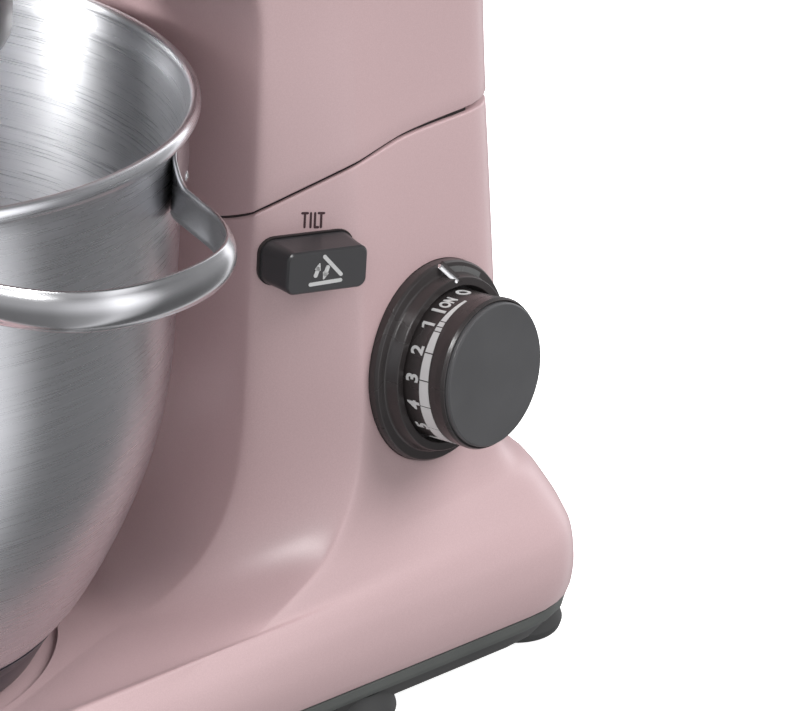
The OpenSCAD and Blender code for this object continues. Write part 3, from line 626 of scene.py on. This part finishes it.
def dome(ring, rise):
    """Rings that close a shell's top, as a low dome."""
    middle = ring.mean(0)
    middle[0] = 0
    return [middle + (ring - middle) * t + np.array((0, 0, rise * (1 - t * t)))
            for t in (0.85, 0.6, 0.3, 0.0)]


def top_shell(name, rows, drops, low_lip):
    """A shell that is open below and closed above."""
    outer = eased(surface(rows), 0, low_lip, -1)
    inner = surface([inset(r, WALL, d) for r, d in zip(rows, drops)])
    rings = (dome(outer[-1], 1.5)[::-1] + list(outer[::-1]) + lip(outer[0], low_lip, -1)
             + list(inner) + dome(inner[-1], 1.5))
    return solid(name, *loft(rings, cyclic=True))


def shade_strip(level_row, depth, width, low, high, rear_end):
    """Strip of painted shade inside a level, from low to high around it; it stops before the
    hinge.
    """
    half = [p for p in spline(level(inset(level_row, depth, 0)), 9) if p[1] < rear_end]
    path = [p * (-1, 1, 1) for p in half[:0:-1]] + half
    rings = []
    for i, p in enumerate(path):
        d = heading(path, i)
        inward = unit(np.array((-d[1], d[0], 0))) * width
        rings.append([p + (0, 0, low), p + inward + (0, 0, low), p + inward + (0, 0, high),
                      p + (0, 0, high)])
    return loft(rings)


SLEEVE = (15.2, 30.4, 5)


def cable_frame(y):
    """Local frame on the line on which the cable leaves to the rear."""
    return frame_at((-50, y, 30), (-90, "X"))


base = open_shell("body_base", BASE_LEVELS, [0, 0, 0, 2, 3, 6, 6, 4, 2, 1, 0, 0, 0], 0.9, 0.7)
skin_tree = BVHTree.FromObject(base, bpy.context.evaluated_depsgraph_get())
# Openings for the bezel, the dial's shaft, the button, the cable and the bowl's seat
carve(base, cylinder(31.7, -1.6, 20, DIAL), cylinder(11, -12, 18, DIAL),
      solid("cutter", *prism(rect(*SLEEVE), [(0, -14), (0, 12)]), BUTTON),
      cylinder(7.2, 0, 60, cable_frame(215), 48),
      cylinder(SEAT_R, DECK_Z, DECK_Z + 20, BODY, 160))
finish_piece(base, "base", PAINT, "body_paint", ["base_housing"], sharp=50)

neck = open_shell("body_neck", NECK_LEVELS + [SEAM_LEVEL],
                  [0, 0, -1, -2.5, -3, -3, -3, -2.5, -1, 0], 0.5, 0.5)
# Opening for the gear case, and the recess around the hub ring
carve(neck, cylinder(51, 230, 262, BODY, 128), cylinder(57.3, 230, 250.4, BODY, 128))
finish_piece(neck, "head", PAINT, "body_paint", ["head_housing"], sharp=50)

cover = top_shell("body_cover", [lifted(SEAM_LEVEL, 0.8)] + CROWN_LEVELS,
                  [0, 0, 0, 1, 3, 3], 0.5)
finish_piece(cover, "head", PAINT, "body_paint", ["head_cover"], sharp=50)


# ------------------------------------------------------------------ base plate, feet
def skirt(t, z, k=6):
    """Outline of the base's lower edge, t inside it."""
    ring = surface([inset(BASE_LEVELS[0], t, 0)] * 3, k, 1)[0]
    return [(x, y, z) for x, y, _ in ring]


piece("plate_band", loft([skirt(t, z) for t, z in (
    (9, 12.5), (3.4, 12.6), (1.2, 13.4), (0.7, 14.6), (0.6, 15.4), (0.6, 17.6), (1, 18),
    (1.6, 18.2), (6.5, 18.2), (6.5, 15.6))]), "base", BASE_UPPER, "base_plastic",
    ["base_plate"], weighted=True)
# The plate is deeper behind STEP_Y
STEP_Y, PLATE_Z, RAIL_Z = 124, 12.5, 7
rail = solid("plate_rail", *loft([skirt(t, z) for t, z in (
    (12, 7), (5.6, 7), (4.9, 7.3), (4.6, 8), (2.2, 14.9), (2.2, 15.6), (12, 15.6))]))
carve(rail, block((260, 400, 40), (0, STEP_Y - 200, 10)))
finish_piece(rail, "base", BASE_DARK, "base_plastic", weighted=True)
piece("plate_floor", loft([skirt(9, 12.7), skirt(9, 15.5)]), "base", BASE_DARK,
      "base_plastic", weighted=True)

TALL_FOOT = rounded([(0, 0, 0), (13.5, 0, 1), (16.8, 1.2, 1.2), (17.5, 3.8, 1.4),
                     (16.2, 7.2, 0.8), (14, 12, 0), (0, 12, 0)], 5)
FRONT_FOOT = rounded([(0, 0, 0), (13.5, 0, 1), (16.4, 1.3, 1), (17, 4, 1), (15, 6, 0.8),
                      (13, 8, 0.8), (12, 13, 0), (0, 13, 0)], 5)
FEET = [(TALL_FOOT, 77, 222), (TALL_FOOT, 87, 138), (FRONT_FOOT, 72, -56)]
piece("feet_rubber", join(*[moved(lathe(outline, 64), (sign * x, y, 0))
                            for outline, x, y in FEET for sign in (-1, 1)]), "base", RUBBER,
      "rubber_black", ["feet"])

SCREW_HEAD = rounded([(0, 2.5, 0), (2.3, 2.5, 0), (2.3, 0.2, 0.3), (3.8, 0.2, 0.3),
                      (3.7, -1.2, 0.8), (2.2, -2.2, 1), (0, -2.3, 0)], 4)
SCREWS = [(x, y, RAIL_Z if y > STEP_Y else PLATE_Z) for x in (-72, 72) for y in (-26, 60, 178)]
screws = solid("base_fixings", *join(*[moved(lathe(SCREW_HEAD, 32), at) for at in SCREWS]))
carve(screws, *[block(slot, (x, y, z - 2.4)) for x, y, z in SCREWS
                for slot in ((0.9, 5, 2.4), (5, 0.9, 2.4))])
finish_piece(screws, "base", ZINC, "hardware", ["base_screws"], weighted=True)

GLAND = [(3.6, -18), (7, -18), (7, -0.2), (9, 0)] + [
    q for i in range(5) for q in ((9 - i * 0.9, 1.6 + 2.2 * i), (7.6 - i * 0.8, 2.1 + 2.2 * i),
                                  (7.4 - i * 0.8, 3.1 + 2.2 * i))] + [(3.6, 13)]
piece("cable_boot", lathe(rounded([(r, z, 0.3) for r, z in GLAND], 2), 64), "base", RUBBER,
      "rubber_black", ["cable_gland"], cable_frame(241.5))

# ------------------------------------------------------------------ speed dial
DIAL_R = 23.2
piece("dial_flange", lathe(rounded([
    (12, -1.5, 0), (31.5, -1.5, 0), (31.5, 1.6, 0.5), (30.9, 2.5, 0.5), (28, 2.9, 0.8),
    (27.1, 6.9, 0.4), (24.5, 7.1, 0.35), (24.1, 2.2, 0.2), (12, 2.2, 0)], 5), 160),
    "base", DARK, "control_plastic", ["dial_bezel"], DIAL, weighted=True)


def band(r0, r1, z0, z1, a0, a1, step=3.0):
    """Block between two radii, heights and angles; radii and heights may run along it."""
    k = max(2, int(abs(a1 - a0) / step))
    rings = []
    for i in range(k + 1):
        t = i / k
        a = math.radians(mix(a0, a1, t))
        lo, hi = mix(z0[0], z0[1], t), mix(z1[0], z1[1], t)
        rings.append([(q * math.cos(a), q * math.sin(a), z)
                      for q, z in ((r0, lo), (r1, lo), (r1, hi), (r0, hi))])
    return loft(rings)


piece("dial_window", band(27.7, 29.8, (2.4, 2.4), (3.1, 3.1), 143, 175), "base",
      WINDOW, "print_grey", at=DIAL)


def polar(r, a, z):
    """Point at a radius, an angle in degrees and a height."""
    return np.array((r * math.cos(math.radians(a)), r * math.sin(math.radians(a)), z))


# The pointer: a thin bright rib that slants across the bezel, on a dark bed
rib_out, rib_in = polar(31.1, 182.5, 0), polar(25.0, 174.6, 0)
rib_side = unit(np.cross(rib_in - rib_out, (0, 0, 1)))


def rib(width, low, heights):
    """Wall that follows the pointer's line, with a sloping top."""
    rings = []
    for t, top in heights:
        p = mix(rib_out, rib_in, t)
        w = rib_side * width / 2
        rings.append([p - w + (0, 0, low), p + w + (0, 0, low), p + w + (0, 0, top - 0.2),
                      p + w * 0.6 + (0, 0, top), p - w * 0.6 + (0, 0, top),
                      p - w + (0, 0, top - 0.2)])
    return loft(rings)


piece("dial_needle", rib(1.5, 2, [(0, 2.9), (0.05, 3.4), (0.45, 5.4), (0.74, 7.3), (0.8, 7.4)]),
      "base", SILVER, "silver_trim", ["dial_pointer"], DIAL, weighted=True)
piece("dial_needle_bed", moved(rib(2.2, 1.8, [(0.05, 2.8), (0.3, 3.6), (0.62, 5.6), (0.86, 6.4)]),
      tuple(-rib_side * 1.3)), "base", DARK, "control_plastic", at=DIAL, weighted=True)

piece("dial_drum", lathe(rounded([
    (3, 3.4, 0), (DIAL_R, 3.4, 0.4), (DIAL_R, 16.2, 2), (23.5, 18.4, 2), (23.6, 20.6, 0.5),
    (23.1, 21.6, 0.25), (22.75, 21.7, 0.1), (22.6, 21.1, 0.1), (3, 21.1, 0)], 5), 192),
    "dial", DARK, "control_plastic",
    ["speed_dial"], DIAL, weighted=True)
piece("dial_face_disc", lathe(rounded([
    (0, 21.1, 0), (22.45, 21.1, 0), (22.4, 22.6, 0.3), (21.9, 23.1, 0.4), (12, 23.1, 0),
    (0, 23.0, 0)], 5), 192), "dial", DARK_FACE, "dial_face", ["dial_cap"], DIAL)

# The printed scale: light blocks that grow towards the high speeds
EDGES = (188, 215.2, 220.1, 224.2, 241.6, 262.6, 283.7, 306, 328, 350)
GAP = 0.45


def scale_low(a):
    return float(np.interp(a, (188, 216, 262, 307, 350), (14.2, 12.7, 12.3, 11.7, 11.5)))


def scale_high(a):
    return float(np.interp(a, (188, 216, 241, 284, 350), (15.0, 14.7, 15.3, 15.9, 15.9)))


blocks = [band(DIAL_R - 0.2, DIAL_R + 0.12, (scale_low(a + GAP), scale_low(b - GAP)),
               (scale_high(a + GAP), scale_high(b - GAP)), a + GAP, b - GAP)
          for a, b in zip(EDGES, EDGES[1:])]
piece("dial_scale_print", join(*blocks), "dial", PRINT, "print_grey", ["dial_scale"], DIAL)


def lettering(name, text, size, bold, place):
    """A word as a thin solid; place turns its (x, y, height) into the local frame."""
    data = bpy.data.curves.new(name, "FONT")
    data.body, data.size, data.align_x, data.offset = text, size, "CENTER", bold
    data.resolution_u = 6
    data.extrude = 0.1
    temp = bpy.data.objects.new(name, data)
    scene.collection.objects.link(temp)
    bpy.context.view_layer.update()
    me = bpy.data.meshes.new_from_object(temp.evaluated_get(
        bpy.context.evaluated_depsgraph_get()))
    bpy.data.objects.remove(temp)
    bm = bmesh.new()
    bm.from_mesh(me)
    bmesh.ops.triangulate(bm, faces=bm.faces)
    low = min(v.co.y for v in bm.verts)
    high = max(v.co.y for v in bm.verts)
    left = min(v.co.x for v in bm.verts)
    right = max(v.co.x for v in bm.verts)
    verts = [place(v.co.x - (left + right) / 2, v.co.y - (low + high) / 2, v.co.z)
             for v in bm.verts]
    faces = [[v.index for v in f.verts] for f in bm.faces]
    bm.free()
    return verts, faces


def on_drum(angle, height, narrow=1.0):
    """Characters on the drum, with their tops towards the body."""
    def place(x, y, h):
        a = math.radians(angle) - x * narrow / DIAL_R
        r = DIAL_R + (0.14 if h > 0 else -0.2)
        return (r * math.cos(a), r * math.sin(a), height - y)
    return place


def bars_on_drum(angle, height, outlines):
    """Characters drawn from straight-sided outlines."""
    place = on_drum(angle, height)
    return [loft([[place(x, y, h) for x, y in o] for h in (-1, 1)]) for o in outlines]


ONE = [[(0.05, -2.25), (0.95, -2.25), (0.95, 2.25), (0.05, 2.25)],
       [(-1.2, 1.0), (-1.2, 1.75), (0.1, 2.25), (0.1, 1.45)]]
LINE = [[(-0.5, -2.6), (0.5, -2.6), (0.5, 2.6), (-0.5, 2.6)]]
MARKS = [("O", 175.5, 9.3, 6.2, 0.95), ("ON", 196, 9.9, 5.4, 0.62)] + [
    (str(i + 2), a, 9.35, 6.1, 0.95) for i, a in enumerate((241.2, 262.4, 284.2, 306, 328, 349))]
marks = [lettering("mark", t, size, 0.2, on_drum(a, z, narrow))
         for t, a, z, size, narrow in MARKS]
piece("dial_numbers", join(*marks, *bars_on_drum(206.6, 9.7, LINE),
                           *bars_on_drum(220.8, 9.4, ONE)), "dial", PRINT, "print_grey",
      at=DIAL, sharp=30)

# ------------------------------------------------------------------ tilt button
sleeve_out, sleeve_in = rect(*SLEEVE), rect(14.7, 29.8, 4.7)
piece("button_frame", loft([[(x, y, z) for x, y in f(i)] for f, i, z in (
    (sleeve_out, 0, -11), (sleeve_out, 0, 0.1), (sleeve_out, 0.1, 0.25),
    (sleeve_in, -0.05, 0.25), (sleeve_in, 0, 0.1), (sleeve_in, 0, -11))], cyclic=True), "base",
    BLACK, "control_plastic", ["button_sleeve"], BUTTON, weighted=True)


def button_ring(z, w, h, r, t):
    """Cross-section of the button; t runs from its foot to its face."""
    return [(x - 0.3 * t, y + 1.55 * t, z) for x, y in rect(h, w, r)(0)]


button = piece("button_body", loft([button_ring(*q) for q in (
    (-4, 29.4, 14.3, 4.2, 0), (0.6, 29.3, 14.2, 4.2, 0), (2.4, 28.4, 13.7, 3.8, 0.12),
    (7, 26.7, 13.4, 3.2, 0.6), (11.15, 25.7, 13.3, 2.7, 1), (11.3, 25.6, 13.2, 2.7, 1),
    (11.85, 24.7, 12.3, 2.3, 1), (11.9, 24.5, 12.1, 2.2, 1))]), "button", BUTTON_FACE,
    "control_plastic", ["tilt_button"], BUTTON, sharp=24, weighted=True)
# A round groove under the button takes up its spring
carve(button, solid("cutter", *lathe([(3.6, -6), (5.4, -6), (5.4, 2), (3.6, 2)], 48), BUTTON))


def stroke(a, b, w, z0, z1, k=6):
    """A line with round ends; a and b are (right, up) on the button's face."""
    a, b = np.array((-a[1], a[0]), float), np.array((-b[1], b[0]), float)
    turn = math.degrees(math.atan2(*(b - a)[::-1]))
    outline = arc(*a, w / 2, turn + 90, turn + 270, k) + arc(*b, w / 2, turn - 90, turn + 90, k)
    return loft([[(x, y, z) for x, y in outline] for z in (z0, z1)])


def arrow_head(tip, tail, size, z0, z1):
    """Triangle at the tip of a line that comes from tail."""
    tip, tail = (np.array((-q[1], q[0]), float) for q in (tip, tail))
    d = unit(tip - tail)
    n = np.array((-d[1], d[0]))
    outline = rounded([(*(tip + d * 0.3), 0.15), (*(tip - d * size + n * size * 0.46), 0.25),
                       (*(tip - d * size - n * size * 0.46), 0.25)], 3)
    return loft([[(x, y, z) for x, y in outline] for z in (z0, z1)])


ICON_Z = (11.7, 12.08)
icon = [stroke((-3.8, -3.4), (5.84, -3.08), 1.15, *ICON_Z),
        stroke((0.37, 4.95), (5.9, -1.24), 1.15, *ICON_Z),
        stroke((-2.25, -0.75), (-1.5, 1.5), 1.25, *ICON_Z),
        arrow_head((-1.06, 3.03), (-2.3, -1.01), 2.3, *ICON_Z),
        stroke((1.55, 1.5), (0.8, -0.7), 1.25, *ICON_Z),
        arrow_head((0.31, -2.15), (1.63, 1.73), 2.3, *ICON_Z)]
piece("button_picture", join(*icon), "button", PRINT, "print_grey", ["button_icon"], BUTTON)

# The word above the button, printed on the corner face
FACE_BACK = BUTTON.inverted()


def on_skin(shape, height):
    """Moves a flat drawing on the button's plane onto the painted skin."""
    verts, faces = shape
    out = []
    for x, y, z in verts:
        start = BUTTON @ Vector((x * MM, y * MM, 0.03))
        way = (BUTTON.to_3x3() @ Vector((0, 0, -1))).normalized()
        hit = skin_tree.ray_cast(BODY.inverted() @ start, way)[0]
        depth = (FACE_BACK @ (BODY @ hit)).z / MM
        out.append((x, y, depth + (height if z > 0 else -0.15)))
    return out, faces


LABEL_LOW, LABEL_TOP, PEN = 8.9, 13.2, 0.76
SLOPE, LEAN = -0.105, 0.03


def pen(x, y):
    """A point of the word, which runs level while the button's plane slants."""
    return (x + 0.65 + LEAN * (y - LABEL_LOW), y + SLOPE * (x - 1.5))


word = [(pen(*a), pen(*b)) for a, b in (
    ((-2.1, LABEL_TOP), (-0.25, LABEL_TOP)), ((-1.17, LABEL_TOP), (-1.17, LABEL_LOW)),
    ((0.75, LABEL_TOP), (0.75, LABEL_LOW)),
    ((2.1, LABEL_TOP), (2.1, LABEL_LOW)), ((2.1, LABEL_LOW), (3.25, LABEL_LOW)),
    ((3.2, LABEL_TOP), (5.0, LABEL_TOP)), ((4.1, LABEL_TOP), (4.1, LABEL_LOW)))]
piece("button_word", join(*[on_skin(stroke(a, b, PEN, -1, 1, 3), 0.05) for a, b in word]),
      "base", LABEL, "control_plastic", at=BUTTON)


# Painted shade: a black strip inside the groove between column and head keeps the groove dark; it
# stands for the groove's shade, not for a seal.
piece("groove_shade_strip", shade_strip(BASE_LEVELS[-1], 1.5, 0.9, -3, 0.85, 196), "base", BLACK,
      "rubber_black")

# ------------------------------------------------------------------ bowl
BOWL_T, RIM_Z = 1.2, 209
BOWL_CURVE = [(0, 44.5), (64, 44.5), (80, 52.2), (98, 92), (105.5, 124), (105.5, 165),
              (107, 203), (107.5, 209)]


def bowl_side(t):
    """Outline of the wall, t inside its outer face."""
    pts = [(max(r - (t if r else 0), 0), z + (t if z < 50 else t / 2 if z < 60 else 0))
           for r, z in BOWL_CURVE]
    return list(spline(pts, 10))


# The rim is rolled outwards into a bead, taller than it is wide
BEAD_R, BEAD_TALL, WALL_END = 1.65, 1.5, 205.9
wall_out = [p for p in bowl_side(0) if p[1] < WALL_END]
wall_in = [p for p in bowl_side(BOWL_T) if p[1] < WALL_END]
rim = [(r, RIM_Z - 0.1 + (z - RIM_Z) * BEAD_TALL)
       for r, z in arc(108.75, RIM_Z, BEAD_R, -118, 200, 22)]
piece("bowl_shell", lathe(wall_out + rim + wall_in[::-1], 256), "bowl", BOWL_STEEL,
      "bowl_steel", ["bowl"], sharp=50)
foot = rounded([(61, 0.4, 0), (67, 0.4, 0.8), (68.8, 2.2, 1), (73.8, 11.8, 2), (77.3, 17.1, 0.3),
                (76.4, 16.4, 0.3), (72.4, 13.3, 2), (70, 12.5, 2), (66.6, 11.8, 0),
                (62.2, 11.3, 0), (61, 11, 0)], 5)
lugs = [band(53, 62, (0.8, 0.8), (3, 3), a - 14, a + 14) for a in (5, 125, 245)]
piece("bowl_base_ring", join(lathe([(r, z + DECK_Z) for r, z in foot], 192),
                             *[moved(s, (0, 0, DECK_Z)) for s in lugs]),
      "bowl", FOOT_DARK, "foot_plastic", ["bowl_foot"])

# Handle: a band with a round back; its ends lie flat on the wall as tongues
HANDLE_Z, HANDLE_H, PAD_R = 193, 5.3, 107.35
TONGUE, TONGUE_TURN, TONGUE_H, TONGUE_RISE, TIP_R, RIM_SHARE = 17, 16, 9.6, 2.9, 6.5, 0.94
ARCH = [(145.5, 10), (139.6, 27), (126.5, 37.5), (109, 43.6), (100.6, 46.6)]
pads = [(PAD_R * math.cos(math.radians(a)), PAD_R * math.sin(math.radians(a)))
        for a in (27.6, 31, 34.5, 38.5)]
WELD_ANGLE = 36.2
half_arch = ARCH + pads
path = spline([(x, -y, HANDLE_Z) for x, y in half_arch[::-1]]
              + [(x, y, HANDLE_Z) for x, y in half_arch], 12)
run = np.concatenate([[0], np.cumsum(np.linalg.norm(np.diff(path, axis=0), axis=1))])


def smooth(t):
    """Eased step from 0 to 1."""
    t = min(max(t, 0.0), 1.0)
    return t * t * (3 - 2 * t)


def flatness(end):
    """1 where the handle is a flat tongue and 0 where it is round (mm from its end)."""
    return 1 - smooth((end - TONGUE) / TONGUE_TURN)


def handle_section(end):
    """Convex back and nearly flat inside; a thin tall tongue near the ends (mm from the end)."""
    flat = flatness(end)
    tip = math.sqrt(max(1 - (1 - min(end / TIP_R, 1)) ** 2, 0.02))
    h = mix(HANDLE_H, TONGUE_H, flat) * tip
    back, edge, inner = mix(2.5, 0.75, flat), mix(0.5, 0.55, flat), mix(-1.25, -0.6, flat)
    hollow = mix(0.55, 0.1, flat)
    rim_at, rim_r = mix(-0.3, 0.05, flat), mix(0.75, 0.5, flat)
    out = [(mix(edge, back, 1 - (q * q) ** 1.15), q * h * RIM_SHARE)
           for q in np.linspace(-0.985, 0.985, 15)]
    inside = [(inner + hollow * (1 - q * q), q * h * RIM_SHARE)
              for q in np.linspace(0.96, -0.96, 9)]
    return (out + arc(rim_at, h * RIM_SHARE, rim_r, 25, 155, 5) + inside
            + arc(rim_at, -h * RIM_SHARE, rim_r, 205, 335, 5))


rings = []
for i, p in enumerate(path):
    d = heading(path, i)
    away = np.array((d[1], -d[0], 0))
    end = min(run[i], run[-1] - run[i])
    rise = TONGUE_RISE * flatness(end)
    rings.append([p + away * a + np.array((0, 0, b + rise)) for a, b in handle_section(end)])
piece("bowl_grip", loft(rings), "bowl", HANDLE_STEEL, "polished_steel",
      ["bowl_handle", "handle_plates"], HANDLE, sharp=50)


def weld(sign):
    """Small round dimple of a spot weld near the tongue's tip."""
    m = (Matrix.Rotation(math.radians(sign * WELD_ANGLE), 4, "Z")
         @ Matrix.Translation((PAD_R + 0.7, 0, HANDLE_Z - 1))
         @ Matrix.Rotation(math.radians(90), 4, "Y"))
    return moved(lathe(rounded([(0, -0.4, 0), (1.6, -0.4, 0), (1.6, 0.1, 0.2), (1.1, 0.3, 0.2),
                                (0.5, 0.05, 0.2), (0, 0, 0)], 3), 32), matrix=m)


piece("bowl_grip_welds", join(weld(1), weld(-1)), "bowl", POLISHED, "polished_steel",
      at=HANDLE)

# ------------------------------------------------------------------ head's underside
piece("hub_collar", lathe(rounded([
    (47, 222, 0.6), (50, 222, 2), (57, 226.2, 5.5), (57, 250, 0.4), (47, 250, 0.4)], 8), 160),
    "head", HUB_GREY, "hub_grey", ["hub_ring"], weighted=True)
carrier = join(lathe(rounded([(0, 228, 0), (45, 228, 0.6), (45, 220, 1.6), (42, 219.4, 1),
                              (40, 221.2, 1), (15, 221.2, 1), (13, 219.8, 1), (0, 219.6, 0)], 5),
                     128),
               lathe([(0, 226), (8, 226), (8, 249.5), (6, 249.5), (6, 295), (0, 295)], 48),
               *[moved(band(14, 41, (219.9, 219.9), (222, 222), a - 1, a + 1))
                 for a in range(15, 375, 30) if abs((a % 360) - 270) > 20])
piece("planet_disc", carrier, "planetary", DARK, "hub_grey", ["planet_carrier"], weighted=True)
piece("planet_boss", lathe(rounded([(6.1, 216, 0.4), (11, 216, 1.5), (12.4, 221.5, 1.5),
                                    (14.5, 222.5, 0), (6.1, 222.5, 0)], 5), 64), "planetary",
      DARK, "hub_grey", at=PLANET, weighted=True)

# Flat beater: hub with a bayonet slot, frame and two crossbars, all with rounded edges
hub = solid("beater_casting", *lathe(rounded([
    (0, 150, 0), (7, 150, 2), (11, 154, 3), (11, 197, 1.2), (6.2, 198, 0.4), (6.2, 176, 0),
    (0, 176, 0)], 5), 64), PLANET)
carve(hub, block((24, 4.2, 20), (0, 0, 193), PLANET))
finish_piece(hub, "beater", COATED, "beater_coat", ["flat_beater"], weighted=True)
HALF = spline([(0, 154.5), (23, 154.5), (44.5, 144), (44.5, 108), (41.5, 76), (22, 60.5),
               (0, 59.5)], 10)
LOOP = [(x, 0, z) for x, z in HALF] + [(-x, 0, z) for x, z in HALF[-2:0:-1]]


def closed_sweep(points, section):
    """Section carried round a closed loop that stands in the XZ plane."""
    pts = [np.asarray(p, float) for p in points]
    n = len(pts)
    rings = []
    for i, p in enumerate(pts):
        d = unit(pts[(i + 1) % n] - pts[i - 1])
        out_way = np.cross(d, (0, 1, 0))
        rings.append([p + out_way * a + np.array((0, b, 0)) for a, b in section])
    return loft(rings, cyclic=True)


SECTION = rounded([(-3.5, -3, 1.4), (3.5, -3, 1.4), (3.5, 3, 1.4), (-3.5, 3, 1.4)], 4)
BAR = rounded([(-2.5, -2.6, 1.1), (2.5, -2.6, 1.1), (2.5, 2.6, 1.1), (-2.5, 2.6, 1.1)], 4)
bars = [sweep([(-43, 0, z), (-20, 0, z), (0, 0, z), (20, 0, z), (43, 0, z)], BAR)
        for z in (86.5, 114.5)]
spine = loft([[(x, y, z) for x, y in SECTION] for z in (60, 90, 120, 152)])
piece("beater_frame", join(closed_sweep(LOOP, SECTION), *bars, spine), "beater", COATED,
      "beater_coat", at=PLANET, sharp=50)

# ------------------------------------------------------------------ carried-over CAD parts
CARRIED = {
    CAST: ("column_frame", "head_frame", "gear_case", "ring_gear"),
    BASE_DARK: ("column_cap", "neck_plate", "speed_switch", "motor_fan"),
    ZINC: ("bowl_lock_plate", "latch_pin", "hinge_pin", "latch_catch", "gear_case_screws",
           "motor_bearings", "drive_bearings", "motor_shaft", "pinion", "beater_shaft",
           "beater_pin", "dial_shaft", "button_stem", "button_spring", "latch_lever"),
    CORE: ("motor_stator", "motor_rotor"), CARBON: ("motor_brushes",),
    BOARD: ("control_board",), NYLON: ("worm_wheel",)}
for material, names in CARRIED.items():
    for name in names:
        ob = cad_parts[name]
        if not ob.material_slots:
            ob.data.materials.append(material)
        for place in ob.material_slots:
            place.material = material

# ------------------------------------------------------------------ floor
FLOOR = 6.0
floor_mesh = bpy.data.meshes.new("floor")
floor_mesh.from_pydata([(-FLOOR, -FLOOR, 0), (FLOOR, -FLOOR, 0), (FLOOR, FLOOR, 0),
                        (-FLOOR, FLOOR, 0)], [], [(0, 1, 2, 3)])
floor = bpy.data.objects.new("floor", floor_mesh)
scene.collection.objects.link(floor)
floor_mesh.materials.append(principled(
    "floor_white", Base_Color=(0.9, 0.9, 0.9, 1), Roughness=0.85, Specular_IOR_Level=0.2,
    Emission_Color=(1, 1, 1, 1), Emission_Strength=0.9)[0])
floor.visible_diffuse = False
floor.visible_glossy = False

bpy.context.view_layer.update()
